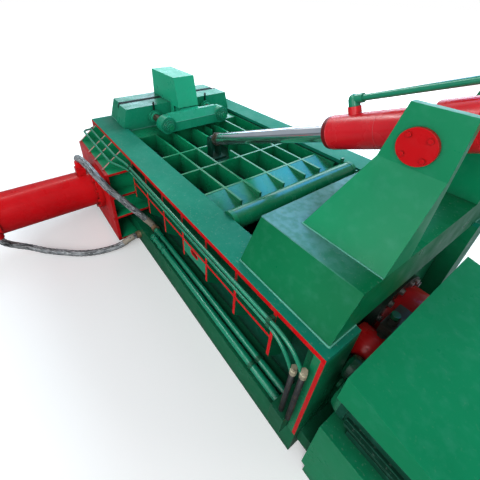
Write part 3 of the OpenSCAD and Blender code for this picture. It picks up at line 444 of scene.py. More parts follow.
def painted(
    name, colour, red_part=None, patch=None, patch_colour=None,
    dust=0.25, rough=0.34, gloss=0.26, chip=0.55, matt=False,
):
    """Gloss machine paint: two tones by slow noise, a painted sheen in patches, painted shade with grime in
    corners, chipping and a painted highlight on edges, dust on top faces.
    red_part and patch give the share of red and of the patch's colour; matt makes the patch rough."""
    values = settings("baler_paint")
    tones = RED_WEAR_AND_LIGHT if colour[0] > colour[1] else GREEN_WEAR_AND_LIGHT
    graph = Graph(name)
    soft_normal = graph.add("ShaderNodeBevel", {"samples": 4}, Radius=values.edge_round).outputs[0]
    flat_normal = graph.add("ShaderNodeNewGeometry").outputs["Normal"]
    light = tuple(min(1.0, channel * 1.10 + 0.002) for channel in colour)
    base = graph.mix(graph.patches(1.7, 4.0, 0.35, 0.68), shade(colour, 0.84), light)
    if red_part is not None:
        base = graph.mix(red_part(graph), base, tuple(values.red))
    if patch is not None:
        base = graph.mix(patch(graph), base, patch_colour)
    # Mottled patches mixed towards the lighter sheen tone: a painted sheen
    spread = graph.patches(26.0, 5.0, 0.50, 0.80, 0.0, 0.22)
    mottled = graph.mix(spread, base, graph.mix(0.35, base, tones["sheen"]))
    # Darker where ambient occlusion finds corners: painted shade, with grime
    corners = graph.add("ShaderNodeAmbientOcclusion", {"samples": 4, "only_local": False}, Distance=0.10)
    shaded_grimy = graph.mix(graph.remap(corners.outputs["AO"], 0.25, 0.85, 0.62, 0.0), mottled, CORNER_SHADE_AND_GRIME)
    up = graph.add("ShaderNodeSeparateXYZ", Vector=flat_normal).outputs[2]
    spots = graph.patches(90.0, 2.0, 0.63, 0.74, 0.0, dust)
    dusty = graph.mix(graph.times(spots, graph.remap(up, 0.5, 1.0)), shaded_grimy, tones["dust"])
    # A lighter tone on rounded edges: chipping, and a painted highlight
    turned = graph.add("ShaderNodeVectorMath", {"operation": "DOT_PRODUCT"})
    graph.feed(turned, soft_normal, flat_normal)
    edge = graph.remap(turned.outputs["Value"], 0.72, 0.97, 1.0, 0.0)
    chips = graph.times(edge, graph.patches(38.0, 4.0, 0.48, 0.66, chip * 0.18, chip))
    chipped = graph.mix(chips, dusty, tones["edge"])
    roughness = graph.patches(9.0, 5.0, 0.3, 0.7, rough - 0.09, rough + 0.12)
    if matt:
        roughness = graph.math("MAXIMUM", roughness, graph.times(patch(graph), 0.9))
    skin = graph.bump(graph.noise(150.0, 2.0), 0.10, 0.0006, soft_normal)
    waves = graph.bump(graph.noise(3.2, 2.0), 0.16, 0.010, skin)
    return graph.finish(
        {"Coat Weight": gloss * 0.2, "Coat Roughness": 0.12, "Specular IOR Level": gloss},
        Base_Color=chipped, Roughness=roughness, Normal=waves,
    )


def paint(nodes, name, colour, **finish):
    """Gives CAD nodes one new paint"""
    wear(nodes, painted(name, colour, **finish))


def bare_steel(name, colour, metallic=0.85, rough=0.42, scratch=220.0):
    """Turned or rolled bare metal: dark oily patches, fine grain and small marks"""
    graph = Graph(name)
    tone = graph.mix(graph.patches(7.0, 6.0, 0.38, 0.66), shade(colour, 0.55), colour)
    marked = graph.mix(graph.patches(60.0, 4.0, 0.55, 0.70, 0.0, 0.6), tone, (0.10, 0.06, 0.035))
    roughness = graph.patches(24.0, 4.0, 0.3, 0.7, rough - 0.12, rough + 0.16)
    skin = graph.bump(graph.noise(scratch, 3.0), 0.22, 0.0005)
    return graph.finish({"Metallic": metallic}, Base_Color=marked, Roughness=roughness, Normal=skin)


def rod_finish(name, green):
    """Brown greasy steel up to the yoke and green paint on the studs beyond it"""
    graph = Graph(name)
    stretched = graph.add("ShaderNodeMapping", Vector=graph.place, Scale=(8.0, 60.0, 60.0)).outputs[0]
    streaks = graph.noise(1.0, 5.0, stretched)
    steel = graph.mix(graph.remap(streaks, 0.38, 0.64), (0.035, 0.022, 0.014), (0.24, 0.17, 0.115))
    outside = beyond(graph, 0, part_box("lock_yoke")[1].x - 0.010, True)
    tone = graph.mix(outside, steel, shade(green, 1.1))
    metal = graph.remap(outside, 0.0, 1.0, 0.75, 0.0)
    rough = graph.patches(18.0, 4.0, 0.3, 0.7, 0.24, 0.50)
    skin = graph.bump(streaks, 0.2, 0.0006)
    return graph.finish(Base_Color=tone, Metallic=metal, Roughness=rough, Normal=skin)


def chromed(name):
    """Polished hard chrome with faint bands along the rod and a brown oily rim at the eye"""
    graph = Graph(name)
    eye_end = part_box("lid_cylinder_rod")[0].x
    rim = graph.remap(graph.axes()[0], eye_end + 0.118, eye_end + 0.150, 1.0, 0.0)
    oily = graph.times(rim, graph.patches(22.0, 4.0, 0.30, 0.55, 0.65, 1.0))
    body = graph.mix(graph.patches(5.0, 3.0, 0.3, 0.7), (0.66, 0.70, 0.76), (0.80, 0.83, 0.87))
    tone = graph.mix(oily, body, (0.115, 0.070, 0.045))
    polish = graph.patches(40.0, 3.0, 0.3, 0.7, 0.10, 0.17)
    roughness = graph.math("ADD", polish, graph.times(oily, 0.40))
    skin = graph.bump(graph.noise(400.0, 2.0), 0.04, 0.0002)
    return graph.finish({"Metallic": 0.96}, Base_Color=tone, Roughness=roughness, Normal=skin)


def sleeve_finish(name, dark, pale):
    """Crinkled woven sleeve: dark patches, pale patches and white flakes that are painted highlights,
    diagonal weave and soft gloss, on the hose's own UV
    """
    graph = Graph(name)
    uv = graph.add("ShaderNodeUVMap", {"uv_map": "along"}).outputs[0]
    across, along, _ = graph.add("ShaderNodeSeparateXYZ", Vector=uv).outputs
    turn = graph.times(across, 2 * np.pi)
    round_x, round_y = graph.math("COSINE", turn), graph.math("SINE", turn)
    skin = graph.add("ShaderNodeCombineXYZ", X=round_x, Y=round_y, Z=along).outputs[0]
    streaks = graph.add("ShaderNodeMapping", Vector=skin, Scale=(1.0, 1.0, 0.55)).outputs[0]
    patch = graph.remap(graph.noise(2.1, 5.0, streaks), 0.40, 0.64)
    highlight_flakes = graph.remap(graph.noise(5.2, 4.0, streaks), 0.54, 0.63)
    diagonal = {"bands_direction": "DIAGONAL"}
    wave = graph.add("ShaderNodeTexWave", diagonal, Vector=skin, Scale=7.0, Distortion=1.2, Detail=2.0)
    weave = wave.outputs["Fac"]
    # Pale patches and white flakes: painted highlights of the crinkled sleeve
    tone = graph.mix(patch, dark, pale)
    tone = graph.mix(graph.times(highlight_flakes, 0.75), tone, (0.86, 0.88, 0.90))
    tone = graph.mix(graph.times(weave, 0.25), tone, shade(dark, 0.5))
    roughness = graph.remap(highlight_flakes, 0.0, 1.0, 0.62, 0.34)
    height = graph.math("ADD", graph.times(weave, 0.5), graph.noise(90.0, 4.0))
    normal = graph.bump(height, 0.55, 0.0022)
    coat = {"Coat Weight": 0.25, "Coat Roughness": 0.25}
    return graph.finish(coat, Base_Color=tone, Roughness=roughness, Normal=normal)


def wear(nodes, material):
    """Gives CAD nodes one material"""
    for name in nodes:
        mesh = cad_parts[name].data
        mesh.materials.clear()
        mesh.materials.append(material)


def unit(v):
    """The vector, or each row of vectors, at length one"""
    return v / np.linalg.norm(v, axis=-1, keepdims=True)


def spline(points, steps):
    """Points along a Catmull-Rom curve through the given ones, steps to each stretch"""
    p = np.array(points, float)
    before = np.vstack([p[:1], p[:-2]])
    after = np.vstack([p[2:], p[-1:]])
    a, b, c, d = (x[:, None, :] for x in (before, p[:-1], p[1:], after))
    t = (np.arange(steps) / steps)[None, :, None]
    curve = 0.5 * (2 * b + (c - a) * t + (2 * a - 5 * b + 4 * c - d) * t**2 + (3 * b - a - 3 * c + d) * t**3)
    return np.vstack([curve.reshape(-1, 3), p[-1:]])


def even(path, step):
    """The same line with points at equal distances of about step, and the distance along it at each"""
    gaps = np.linalg.norm(np.diff(path, axis=0), axis=1)
    reach = np.concatenate([[0.0], np.cumsum(gaps)])
    at = np.linspace(0.0, reach[-1], max(2, int(round(reach[-1] / step)) + 1))
    return np.stack([np.interp(at, reach, path[:, k]) for k in range(3)], axis=1), at


def around(sides):
    """Evenly spaced angles of one turn"""
    return np.linspace(0.0, 2 * np.pi, sides, endpoint=False)


def ring_axes(path):
    """Two unit vectors across the line at each point; no line here runs the leading way"""
    leading = np.array([0.31, 0.17, 0.93])
    ahead = unit(np.gradient(path, axis=0))
    first = unit(np.cross(ahead, leading))
    return first, np.cross(ahead, first)


def swept(path, radius, sides):
    """Points and faces of a closed tube along the path; radius is one number, or one to a ring and side"""
    first, second = (axis[:, None, :] for axis in ring_axes(path))
    turn = around(sides)[None, :, None]
    radius = np.broadcast_to(radius, (len(path), sides))[..., None]
    return with_caps(path[:, None, :] + radius * (np.cos(turn) * first + np.sin(turn) * second))


def with_caps(rings):
    """Points and quads of a grid of rings, closed by a centre point at each end"""
    count, sides = rings.shape[:2]
    points = np.vstack([rings.reshape(-1, 3), rings[0].mean(0), rings[-1].mean(0)])
    ring = np.arange(count - 1)[:, None] * sides
    k = np.arange(sides)
    after = (k + 1) % sides
    corners = [ring + k, ring + after, ring + sides + after, ring + sides + k]
    walls = np.stack(corners, axis=-1).reshape(-1, 4)
    last = (count - 1) * sides
    start = np.stack([np.full(sides, count * sides), after, k], axis=1)
    end = np.stack([np.full(sides, count * sides + 1), last + k, last + after], axis=1)
    return points, [walls, start, end]


def lathe(origin, axis, profile, sides):
    """A turned piece: profile is rows of distance along the axis and radius"""
    axis = unit(np.array(axis, float))
    leading = np.array([0.0, 1.0, 0.0]) if abs(axis[1]) < 0.9 else np.array([1.0, 0.0, 0.0])
    first = unit(np.cross(leading, axis))
    second = np.cross(axis, first)
    profile = np.array(profile, float)
    turn = around(sides)[:, None]
    circle = np.cos(turn) * first + np.sin(turn) * second
    rings = np.array(origin, float) + profile[:, :1, None] * axis + profile[:, 1:, None] * circle[None]
    return with_caps(rings)


def hoop(centre, axis, radius, wire):
    """A thin ring of round wire about the axis, open in the middle"""
    first = unit(np.cross([0.0, 1.0, 0.0], axis))
    second = np.cross(axis, first)
    turn = np.linspace(0.0, 2 * np.pi, 97)[:, None]
    return swept(centre + radius * (np.cos(turn) * first + np.sin(turn) * second), wire, 8)


def block(low, high):
    """Points and faces of a plain box"""
    grid = np.array([[x, y, z] for x in (0, 1) for y in (0, 1) for z in (0, 1)], float)
    low, high = np.array(low, float), np.array(high, float)
    faces = np.array([[0, 1, 3, 2], [4, 6, 7, 5], [0, 4, 5, 1], [2, 3, 7, 6], [0, 2, 6, 4], [1, 5, 7, 3]])
    return low + grid * (high - low), [faces]


def rounded(corners, radius, steps=8):
    """The line through the corners with each inner corner turned into an arc"""
    p = np.array(corners, float)
    back, ahead = p[:-2] - p[1:-1], p[2:] - p[1:-1]
    shorter = np.minimum(np.linalg.norm(back, axis=1), np.linalg.norm(ahead, axis=1))
    reach = np.minimum(radius, 0.45 * shorter)[:, None]
    a, c = p[1:-1] + unit(back) * reach, p[1:-1] + unit(ahead) * reach
    t = np.linspace(0.0, 1.0, steps)[None, :, None]
    arcs = (1 - t) ** 2 * a[:, None] + 2 * t * (1 - t) * p[1:-1, None] + t**2 * c[:, None]
    return np.vstack([p[:1], arcs.reshape(-1, 3), p[-1:]])


def into_scene(name, data):
    """A new object in the scene, made of the data"""
    made = bpy.data.objects.new(name, data)
    bpy.context.scene.collection.objects.link(made)
    return made


def build(name, parts, body, material, smooth=True):
    """One mesh object from several point and face sets, riding on a body"""
    points, faces, base = [], [], 0
    for part_points, part_faces in parts:
        points.append(part_points)
        faces += [tuple(f) for group in part_faces for f in (np.asarray(group) + base).tolist()]
        base += len(part_points)
    mesh = bpy.data.meshes.new(name)
    mesh.from_pydata(np.vstack(points).tolist(), [], faces)
    mesh.polygons.foreach_set("use_smooth", np.full(len(mesh.polygons), smooth))
    mesh.materials.append(material)
    mesh.update()
    piece = into_scene(name, mesh)
    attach(piece, body)
    return piece


class BALER_OT_camera(bpy.types.Operator):
    """Set the camera where the photograph was taken"""

    bl_idname = "baler.camera"
    bl_label = "Camera"

    def execute(self, context):
        values = settings("baler_stage")
        right, up = Vector(CAMERA_RIGHT), Vector(CAMERA_UP)
        back = right.cross(up)
        data = bpy.data.cameras.new("view")
        data.sensor_width = SENSOR
        data.lens = values.lens
        data.shift_x, data.shift_y = values.shift
        camera = into_scene("view", data)
        camera.matrix_world = Matrix((right, up, back)).transposed().to_4x4()
        camera.location = values.camera_place
        context.scene.camera = camera
        return {"FINISHED"}


class BALER_OT_hoses(bpy.types.Operator):
    """Make the two hoses in their crinkled sleeves"""

    bl_idname = "baler.hoses"
    bl_label = "Sleeved hoses"

    def execute(self, context):
        values = settings("baler_hoses")
        finish = sleeve_finish("hose_sleeve", SLEEVE_DARK, SLEEVE_HIGHLIGHT)
        for name, node, route in (
            ("upper_hose_sleeve", "hose_upper", UPPER_ROUTE),
            ("lower_hose_sleeve", "hose_lower", LOWER_ROUTE),
        ):
            path, reach = even(spline(route, 24), 0.006)
            tube = swept(path, self.folded(reach, values), HOSE_SIDES)
            piece = build(name, [tube], "frame", finish)
            self.unroll(piece.data, len(path), reach)
            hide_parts(node)
        return {"FINISHED"}

    def folded(self, reach, values):
        """The sleeve's radius round and along the hose: the turns of its wrap and two waves of folds"""
        turn = around(HOSE_SIDES)[None, :]
        along = reach[:, None]
        wrap = np.sin(turn + 2 * np.pi * along / values.wrap_pitch)
        folds = 0.5 * np.sin(3 * turn - 97.0 * along) + 0.5 * np.sin(5 * turn + 171.0 * along + 1.3)
        return values.diameter / 2 - values.crinkle + values.crinkle * (0.45 * wrap + 0.55 * folds)

    def unroll(self, mesh, rings, reach):
        """UV map: u runs round the hose and v along it, in tenths of a metre"""
        layer = mesh.uv_layers.new(name="along")
        corner = np.zeros(len(mesh.loops), int)
        mesh.loops.foreach_get("vertex_index", corner)
        row = np.minimum(corner // HOSE_SIDES, rings - 1)
        uv = np.stack([(corner % HOSE_SIDES) / HOSE_SIDES, reach[row] * 10.0], axis=1)
        layer.data.foreach_set("uv", uv.ravel())


class BALER_OT_paint(bpy.types.Operator):
    """Paint and finish the solid pieces"""

    bl_idname = "baler.paint"
    bl_label = "Paint and metal"

    def execute(self, context):
        values = settings("baler_paint")
        green = tuple(values.green)
        self.paint_body(green)
        self.paint_edged(values, green)
        self.paint_lock(tuple(values.lit_lock_green))
        self.paint_inside(tuple(values.shaded_chamber_green))
        self.paint_pipes(tuple(values.lit_pipe_green))
        self.paint_cylinders(tuple(values.red))
        self.finish_metal(green)
        return {"FINISHED"}

    def paint_body(self, green):
        """The body, the lid and the stands, in green throughout"""
        # Factors on the green make lighter and darker copies of the one paint for the light on each piece:
        # painted light and shade
        plain = ["far_rib_frame", "hinge_brackets", "gate_guides", "power_unit_tank"]
        paint(plain, "body_green", green)
        paint(["base_frame"], "base_green", BASE_GREEN, dust=0.15, gloss=0.12)
        paint(["console_cover"], "console_green", shade(green, 1.15), dust=0.06, gloss=0.12)
        paint(["near_trunnion_stand", "far_trunnion_stand"], "stand_green", shade(green, 1.28))
        # The hood in its darker green, which is painted shade, with a pale reflection painted on its top
        paint(["ram_hood"], "hood_green", HOOD_GREEN, patch=hood_sheen, patch_colour=HOOD_SHEEN, gloss=0.10)
        paint(["lid_grid"], "lid_green", shade(green, 1.12), rough=0.24, gloss=0.42)
        paint(["lid_hinge_tube"], "tube_green", shade(green, 0.85), rough=0.22, gloss=0.45)
        # The clevis in near-black green: painted shade
        paint(["lid_clevis"], "clevis_green", CLEVIS_GREEN, rough=0.40)
        paint(["pipe_clamps", "pipe_manifold"], "clamp_green", shade(green, 0.45), rough=0.40)

    def paint_edged(self, values, green):
        """The rails, and the green plates with red edges"""
        rail, dull = tuple(values.rail_sheen_green), {"dust": 0.3, "rough": 0.48, "gloss": 0.08}
        paint(["far_rail"], "far_rail_green", rail, **dull)
        paint(["near_rail"], "rail_sheen_green", rail, red_part=near_edges, **dull)
        # The rib frame in half the green: painted shade in the bays between the ribs
        paint(["near_rib_frame"], "rib_green", shade(green, 0.5), red_part=near_edges, gloss=0.10)
        paint(["end_wall"], "wall_green", green, red_part=near_edges)
        paint(["rear_wall"], "rear_wall_green", green, red_part=rear_strip)
        paint(["side_panel"], "panel_green", tuple(values.lit_pipe_green), red_part=oval_rim)
        primed = {"patch": gusset_edges, "patch_colour": tuple(values.primer)}
        # The box in a lighter copy of the green: painted light
        paint(["side_ram_box"], "box_green", shade(green, 1.8), red_part=box_edges, **primed)

    def paint_lock(self, green):
        """The lid's lock in lighter and darker copies of its green, painted light and shade, with the slit's
        shadow painted on the lips before it
        """
        # The slit's shadow painted near-black on the lips, and made rough
        lips = {"patch": slit_shadow, "patch_colour": SLIT_SHADOW, "rough": 0.28, "gloss": 0.26, "matt": True}
        paint(["lid_lock_box"], "lock_box_green", shade(green, 0.92), **lips)
        paint(["lock_beam"], "lock_beam_green", shade(green, 0.85), **lips)
        paint(["lock_guard"], "guard_green", shade(green, 1.4), rough=0.32, gloss=0.30)
        paint(["lock_guides", "lock_yoke"], "lit_lock_green", green, rough=0.26, gloss=0.35, chip=0.8)
        paint(["lock_nuts"], "nut_green", shade(green, 0.75), dust=0.0, rough=0.18, gloss=0.8, chip=0.9)

    def paint_inside(self, green):
        """Dull paint of the chamber, the gate and the motor, in the dark green that is painted shade"""
        inside = ["chamber_floor", "near_side_wall", "far_side_wall", "lid_skin", "exit_gate", "pump_motor"]
        paint(inside, "chamber_green", green, rough=0.45, gloss=0.10)

    def paint_pipes(self, green):
        """Glossy pipe paint in a lighter green, which is painted light, without chipping and painted edge
        highlights, which would show as dashes along thin tubes
        """
        pipes = ["lid_cylinder_pipe", "thin_pipes", "thick_pipes", "pipe_couplings"]
        paint(pipes, "pipe_green", green, dust=0.05, rough=0.18, gloss=0.6, chip=0.0)

    def paint_cylinders(self, red):
        """The red cylinders with their caps and bolts"""
        side = ["side_cylinder_barrel", "side_flange_bolts", "side_port_block"]
        others = ["trunnion_caps", "cap_bolts", "lock_cylinder_barrel", "gate_cylinder_barrel"]
        paint(side + others, "machine_red", red, dust=0.12, rough=0.30, gloss=0.16)
        # The lid cylinder's barrel in a lighter red: painted light
        paint(["lid_cylinder_barrel"], "barrel_red", BARREL_RED, dust=0.0, rough=0.24, gloss=0.4)
        paint(["lid_cylinder_gland"], "gland_red", GLAND_RED, dust=0.05, rough=0.36)
        # A lighter red for the barrel, which is painted light, and painted shade on the flange
        oily = {"patch": flange_shade, "patch_colour": FLANGE_SHADE}
        paint(["main_cylinder_barrel"], "main_red", MAIN_RED, rough=0.30, **oily)

    def finish_metal(self, green):
        """Bare, greasy and chromed steel"""
        wear(["main_port_block", "hydraulic_pump"], bare_steel("oily_steel", OILY_STEEL, 0.5))
        wear(["main_ram", "side_ram"], bare_steel("ram_steel", RAM_STEEL, 0.8, 0.48))
        turned = ["hinge_shaft", "main_flange_bolts", "rod_pin"]
        wear(turned, bare_steel("turned_steel", TURNED_STEEL, 0.9, 0.34))
        wear(["hose_fittings"], bare_steel("rusty_zinc", RUSTY_ZINC, 0.6, 0.42))
        wear(["lock_rods"], rod_finish("greasy_rod", green))
        wear(["lid_cylinder_rod"], chromed("rod_chrome"))


def bead(points, share=0.8, lift=0.3):
    """A weld bead along a line of corner points: a thin tube whose radius ripples with the distance.
    share is its radius and lift is its height over the line, both as parts of the bead radius."""
    values = settings("baler_welds")
    path, reach = even(np.array(points, float) + np.array((0.0, 0.0, values.bead * lift)), values.ripple / 3)
    wave = 1.0 + 0.16 * np.sin(2 * np.pi * reach / values.ripple) + 0.10 * np.sin(31.0 * reach + 0.7)
    return swept(path, (values.bead * share * wave)[:, None], 8)


class BALER_OT_welds(bpy.types.Operator):
    """Lay the weld beads along the plate joints of the body, the lid's lock box and the yoke"""

    bl_idname = "baler.welds"
    bl_label = "Weld beads"

    def execute(self, context):
        # Beads in a lighter green: a painted highlight
        green = painted("bead_green", BEAD_GREEN, dust=0.0)
        build("body_welds", self.body_beads(-1) + self.body_beads(1), "frame", green)
        build("lid_welds", [self.lock_box_bead(side) for side in (-1, 1)], "lid", green)
        build("yoke_weld", [self.yoke_bead()], "lock", green)
        return {"FINISHED"}

    def body_beads(self, side):
        """Feet of the hood, the trunnion stand and the lock beam on one side, which is -1 or 1"""
        low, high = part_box("ram_hood")
        inner, outer = side * CHAMBER_HALF, side * high.y
        hood = [(low.x, inner, low.z), (low.x, outer, low.z), (high.x, outer, low.z), (high.x, inner, low.z)]
        low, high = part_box("near_trunnion_stand")
        inner, outer = side * -high.y, side * -low.y
        stand = [(low.x, inner, low.z), (low.x, outer, low.z), (high.x, outer, low.z)]
        low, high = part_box("lock_beam")
        inner, outer = side * CHAMBER_HALF, side * high.y
        beam = [(high.x, inner, RAIL_TOP), (high.x, outer, RAIL_TOP), (low.x, outer, RAIL_TOP)]
        return [bead(hood, 1.0), bead(stand), bead(beam)]

    def lock_box_bead(self, side):
        """The rear foot of the lock box on one side, from the guard to the end"""
        low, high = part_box("lid_lock_box")
        guard_side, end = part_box("lock_guard")[1].y, CHAMBER_HALF - 0.012
        return bead([(high.x, side * guard_side, low.z), (high.x, side * end, low.z)])

    def yoke_bead(self):
        """The weld across the yoke, above the rods"""
        guide_low, guide_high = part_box("lock_guides")
        x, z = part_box("lock_yoke")[1].x, (guide_low.z + guide_high.z) / 2 + 0.018
        half_length = 0.200
        return bead([(x, -half_length, z), (x, half_length, z)], 0.5, 0.0)


class BALER_OT_pipes(bpy.types.Operator):
    """Bend the two small pipes smoothly and add their nuts and hose stubs"""

    bl_idname = "baler.pipes"
    bl_label = "Small pipes"

    def execute(self, context):
        values = settings("baler_fittings")
        bright = tuple(settings("baler_paint").lit_pipe_green)
        green = painted("small_pipe_green", bright, dust=0.0, rough=0.20, gloss=0.6, chip=0.0)
        tubes, nuts, stubs = [], [], []
        for corners, top in SMALL_PIPES:
            path, _ = even(rounded(corners, values.bend), 0.012)
            tubes.append(swept(path, values.pipe_radius, 20))
            x, y, foot = corners[-1]
            place, down = (x, y, top), (0, 0, -1)
            nuts += [lathe(place, down, NUT_HEX, 6), lathe(place, down, NUT_SLEEVE, 20)]
            stubs.append(lathe(place, down, [(STUB_START, STUB_RADIUS), (top - foot, STUB_RADIUS)], 20))
        piece = build("small_pipes", tubes, "frame", green)
        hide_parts("thin_pipes")
        zinc = bare_steel("zinc_nuts", ZINC, 0.4, 0.36)
        build("pipe_nuts", nuts, "frame", zinc, smooth=False)
        rubber = bare_steel("black_rubber", RUBBER, 0.0, 0.50, 90.0)
        build("pipe_stubs", stubs, "frame", rubber)
        return {"FINISHED"}


class BALER_OT_fittings(bpy.types.Operator):
    """Add the fixed fittings: coupling nuts, hose tape, valve tubes, motor bell, return pot, hinge ears"""

    bl_idname = "baler.fittings"
    bl_label = "Fittings"

    def execute(self, context):
        colours = settings("baler_paint")
        # A darker copy of the machine green: painted shade
        green = painted("fitting_green", shade(colours.green, 0.75), rough=0.24, gloss=0.5)
        self.coupling_nuts(tuple(colours.lit_pipe_green))
        self.tape_ends()
        self.valve_tubes(green)
        self.return_pot()
        self.hinge_ears(green)
        return {"FINISHED"}

    def coupling_nuts(self, bright):
        """Six-sided nuts and one round collar on the thick pipes"""
        low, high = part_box("thick_pipes")
        inner, outer, z = high.y - THICK_RADIUS, low.y + THICK_RADIUS, high.z - THICK_RADIUS
        places = [(x, inner, z) for x in INNER_NUTS] + [(x, outer, z) for x in OUTER_NUTS]
        nuts = [lathe(place, (1, 0, 0), COUPLING_NUT, 6) for place in places]
        nuts.append(lathe((COLLAR_X, outer, z), (1, 0, 0), COUPLING_COLLAR, 20))
        green = painted("coupling_green", bright)
        build("coupling_nuts", nuts, "frame", green, smooth=False)

    def tape_ends(self):
        """Crinkled tape wound round the lower end of the upper hose and the first end of the lower one"""
        tape = painted("hose_tape", TAPE_GREY, dust=0.0, rough=0.6)
        ends = []
        for route, start, stop in TAPED:
            path, reach = even(spline(route, 24), 0.005)
            keep = (reach > start * reach[-1]) & (reach < stop * reach[-1])
            turn, along = around(24)[None, :], reach[keep][:, None]
            folds = 0.0009 * np.sin(turn + 240.0 * along) + 0.0006 * np.sin(3 * turn + 90.0 * along)
            ends.append(swept(path[keep], TAPE_RADIUS + folds, 24))
        build("hose_tape", ends, "frame", tape)

    def valve_tubes(self, green):
        """The motor's end bell and hub, and the valve's cap and short tubes behind the rear wall"""
        motor_low, motor_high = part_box("pump_motor")
        y, z = (motor_low.y + motor_high.y) / 2, (motor_low.z + motor_high.z) / 2
        bell_x = motor_low.x - MOTOR_BELL[-1][0]
        bell = lathe((bell_x, y, z), (1, 0, 0), MOTOR_BELL, 40)
        hub = lathe((bell_x - 0.012, y, z), (1, 0, 0), MOTOR_HUB, 24)
        valve = [lathe(*row) for row in VALVE]
        build("valve_tubes", [bell, hub] + valve, "frame", green, smooth=False)

    def return_pot(self):
        """The red pot on the rear wall, in a lighter red that is painted light, with shade painted underneath
        """
        wall_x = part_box("main_cylinder_barrel")[0].x
        pot = lathe((wall_x, POT_Y, POT_Z), (1, 0, 0), RETURN_POT, 48)
        shaded_underside = {"patch": pot_shade, "patch_colour": POT_SHADE, "matt": True}
        red = painted("pot_red", POT_RED, dust=0.05, rough=0.24, gloss=0.4, **shaded_underside)
        build("return_pot", [pot], "frame", red)

    def hinge_ears(self, green):
        """Two upright ears at the far end of the hinge, before and behind the tube"""
        low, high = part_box("hinge_brackets")
        thickness, inner, outer = 0.015, high.y - 0.027, high.y - 0.001
        ears = []
        for x, foot, head in ((low.x - 0.004, 0.745, 0.880), (high.x, 0.720, 0.842)):
            ears.append(block((x, inner, foot), (x + thickness, outer, head)))
        build("hinge_ears", ears, "frame", green, smooth=False)


class BALER_OT_lid_fittings(bpy.types.Operator):
    """Add the small fittings that ride with the lid and its cylinder"""

    bl_idname = "baler.lid_fittings"
    bl_label = "Lid fittings"

    def execute(self, context):
        self.rod_guides(tuple(settings("baler_paint").lit_lock_green))
        self.barrel_rings()
        return {"FINISHED"}

    def rod_guides(self, green):
        """A grease nipple over each lock rod's guide and a ring at its mouth"""
        box_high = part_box("lid_lock_box")[1]
        low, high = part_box("lock_guides")
        rod_z = (low.z + high.z) / 2
        nipples, rings = [], []
        for y in (-ROD_SIDE, ROD_SIDE):
            nipples.append(lathe((box_high.x + 0.010, y, high.z - 0.004), (0, 0, 1), NIPPLE, 12))
            rings.append(lathe((high.x, y, rod_z), (1, 0, 0), GUIDE_RING, 36))
        black = bare_steel("nipple_black", NIPPLE_BLACK, 0.3, 0.45)
        build("grease_nipples", nipples, "lid", black)
        build("guide_rings", rings, "lid", painted("ring_green", green))

    def barrel_rings(self):
        """Thin seam rings round the lid cylinder's barrel"""
        eye = np.array([EYE[0], 0.0, EYE[1]])
        along = unit(np.array([PIVOT[0] - EYE[0], 0.0, PIVOT[1] - EYE[1]]))
        red = painted("ring_red", RING_RED, dust=0.1, rough=0.3)
        rings = [hoop(eye + along * reach, along, BARREL_RADIUS, SEAM_WIRE) for reach in SEAMS]
        build("barrel_rings", rings, "lid_barrel", red)


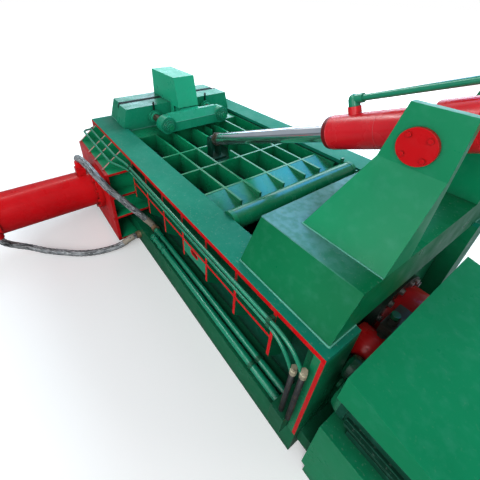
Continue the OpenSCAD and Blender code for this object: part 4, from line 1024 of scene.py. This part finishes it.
class BALER_OT_stage(bpy.types.Operator):
    """Make the floor, the soft lights and the pale surroundings"""

    bl_idname = "baler.stage"
    bl_label = "Stage"

    def execute(self, context):
        values = settings("baler_stage")
        floor = self.lay_floor(self.floor_finish(values))
        self.lights(values)
        self.surroundings(context.scene)
        context.scene.view_settings.view_transform = "Standard"
        return {"FINISHED"}

    def lay_floor(self, material):
        """A wide flat floor just under the machine"""
        half, z = FLOOR_HALF, -FLOOR_DROP
        mesh = bpy.data.meshes.new("floor")
        corners = [(-half, -half, z), (half, -half, z), (half, half, z), (-half, half, z)]
        mesh.from_pydata(corners, [], [(0, 1, 2, 3)])
        mesh.materials.append(material)
        return into_scene("floor", mesh)

    def floor_finish(self, values):
        """For the camera a pale floor that fades to white with the distance; for other rays a dull one"""
        graph = Graph("floor_finish")
        seen = graph.add("ShaderNodeLightPath").outputs["Is Camera Ray"]
        tone = values.floor_tone
        mottled = graph.mix(graph.patches(0.9, 4.0, 0.3, 0.7), (tone * 0.97,) * 3, (tone,) * 3)
        reach = graph.add("ShaderNodeVectorMath", {"operation": "LENGTH"}, Vector=graph.place)
        strength = graph.remap(reach.outputs["Value"], 1.5, 5.5, 0.30, 1.0)
        bounce = graph.add("ShaderNodeBsdfDiffuse", Color=(values.floor_bounce,) * 3)
        diffuse = graph.add("ShaderNodeBsdfDiffuse", Color=mottled)
        glow = graph.add("ShaderNodeEmission", Color=WHITE, Strength=strength)
        both = graph.feed(graph.add("ShaderNodeAddShader"), diffuse.outputs[0], glow.outputs[0])
        surface = graph.feed(graph.add("ShaderNodeMixShader"), seen, bounce.outputs[0], both)
        graph.add("ShaderNodeOutputMaterial", Surface=surface)
        return graph.owner

    def lights(self, values):
        """Three lamps that light the machine, and four that only glossy faces mirror"""
        window = self.lamp("window_light", (-1.6, 5.2, 4.3), 5.5, values.key_power, (0.68, 0.88, 1.0))
        window.visible_glossy = False
        self.lamp("near_light", (3.4, -4.4, 3.8), 3.5, values.fill_power)
        self.lamp("low_light", (0.8, -5.0, 1.6), 2.5, values.low_power)
        for mirrored in (
            ("window_band", (-4.0, 6.0, 3.6), 14.0, values.band_power, (0.62, 0.82, 1.0), 2.0),
            ("roof_light", (-1.9, 5.6, 7.2), 6.0, values.sky_power, (0.05, 0.30, 1.0), 3.2),
            ("rod_shine", (-5.5, 2.6, 6.6), 8.0, values.rod_power, WHITE, 4.0),
            ("pipe_shine", (-3.0, -2.0, 5.5), 9.0, values.pipe_power, (0.80, 1.0, 0.98), 0.7),
        ):
            self.lamp(*mirrored).visible_diffuse = False

    def lamp(self, name, place, size, power, colour=WHITE, height=None):
        """A soft area lamp that faces the machine, square unless a height is given"""
        data = bpy.data.lights.new(name, "AREA")
        data.color, data.energy = colour, power
        data.shape = "RECTANGLE"
        data.size, data.size_y = size, height or size
        lamp = into_scene(name, data)
        lamp.location = place
        lamp.rotation_mode = "QUATERNION"
        lamp.rotation_quaternion = (Vector(AIM) - Vector(place)).to_track_quat("-Z", "Y")
        return lamp

    def surroundings(self, scene):
        """White for the camera and a soft bluish light for everything else"""
        graph = Graph("surroundings", bpy.data.worlds)
        seen = graph.add("ShaderNodeLightPath").outputs["Is Camera Ray"]
        soft = graph.add("ShaderNodeBackground", Color=(0.86, 0.93, 1.0), Strength=0.42)
        white = graph.add("ShaderNodeBackground", Color=WHITE, Strength=1.0)
        surface = graph.feed(graph.add("ShaderNodeMixShader"), seen, soft.outputs[0], white.outputs[0])
        graph.add("ShaderNodeOutputWorld", Surface=surface)
        scene.world = graph.owner


class BALER_PT_panel(bpy.types.Panel):
    """The baler's sizes, colours and steps"""

    bl_idname = "BALER_PT_panel"
    bl_label = "Baler"
    bl_space_type = "VIEW_3D"
    bl_region_type = "UI"
    bl_category = "Baler"

    def draw(self, context):
        for group, _ in GROUPS:
            values = settings(group)
            for key in values.__annotations__:
                self.layout.prop(values, key)
        for step in STEPS:
            self.layout.operator(step.bl_idname)


GROUPS = (
    ("baler_paint", BalerPaint),
    ("baler_hoses", BalerHoses),
    ("baler_welds", BalerWelds),
    ("baler_fittings", BalerFittings),
    ("baler_stage", BalerStage),
)
STEPS = (
    BALER_OT_camera, BALER_OT_hoses, BALER_OT_pipes, BALER_OT_paint, BALER_OT_welds, BALER_OT_fittings,
    BALER_OT_lid_fittings, BALER_OT_stage,
)


def register():
    """Adds the settings, the steps and the panel"""
    for name, group in GROUPS:
        bpy.utils.register_class(group)
        setattr(bpy.types.Scene, name, bpy.props.PointerProperty(type=group))
    for step in STEPS:
        bpy.utils.register_class(step)
    bpy.utils.register_class(BALER_PT_panel)


def unregister():
    """Takes them away again, in the opposite order"""
    bpy.utils.unregister_class(BALER_PT_panel)
    for step in reversed(STEPS):
        bpy.utils.unregister_class(step)
    for name, group in reversed(GROUPS):
        delattr(bpy.types.Scene, name)
        bpy.utils.unregister_class(group)


def main():
    """Runs every step"""
    register()
    bpy.ops.baler.camera()
    bpy.ops.baler.hoses()
    bpy.ops.baler.pipes()
    bpy.ops.baler.paint()
    bpy.ops.baler.welds()
    bpy.ops.baler.fittings()
    bpy.ops.baler.lid_fittings()
    bpy.ops.baler.stage()


if __name__ == "__main__":
    main()
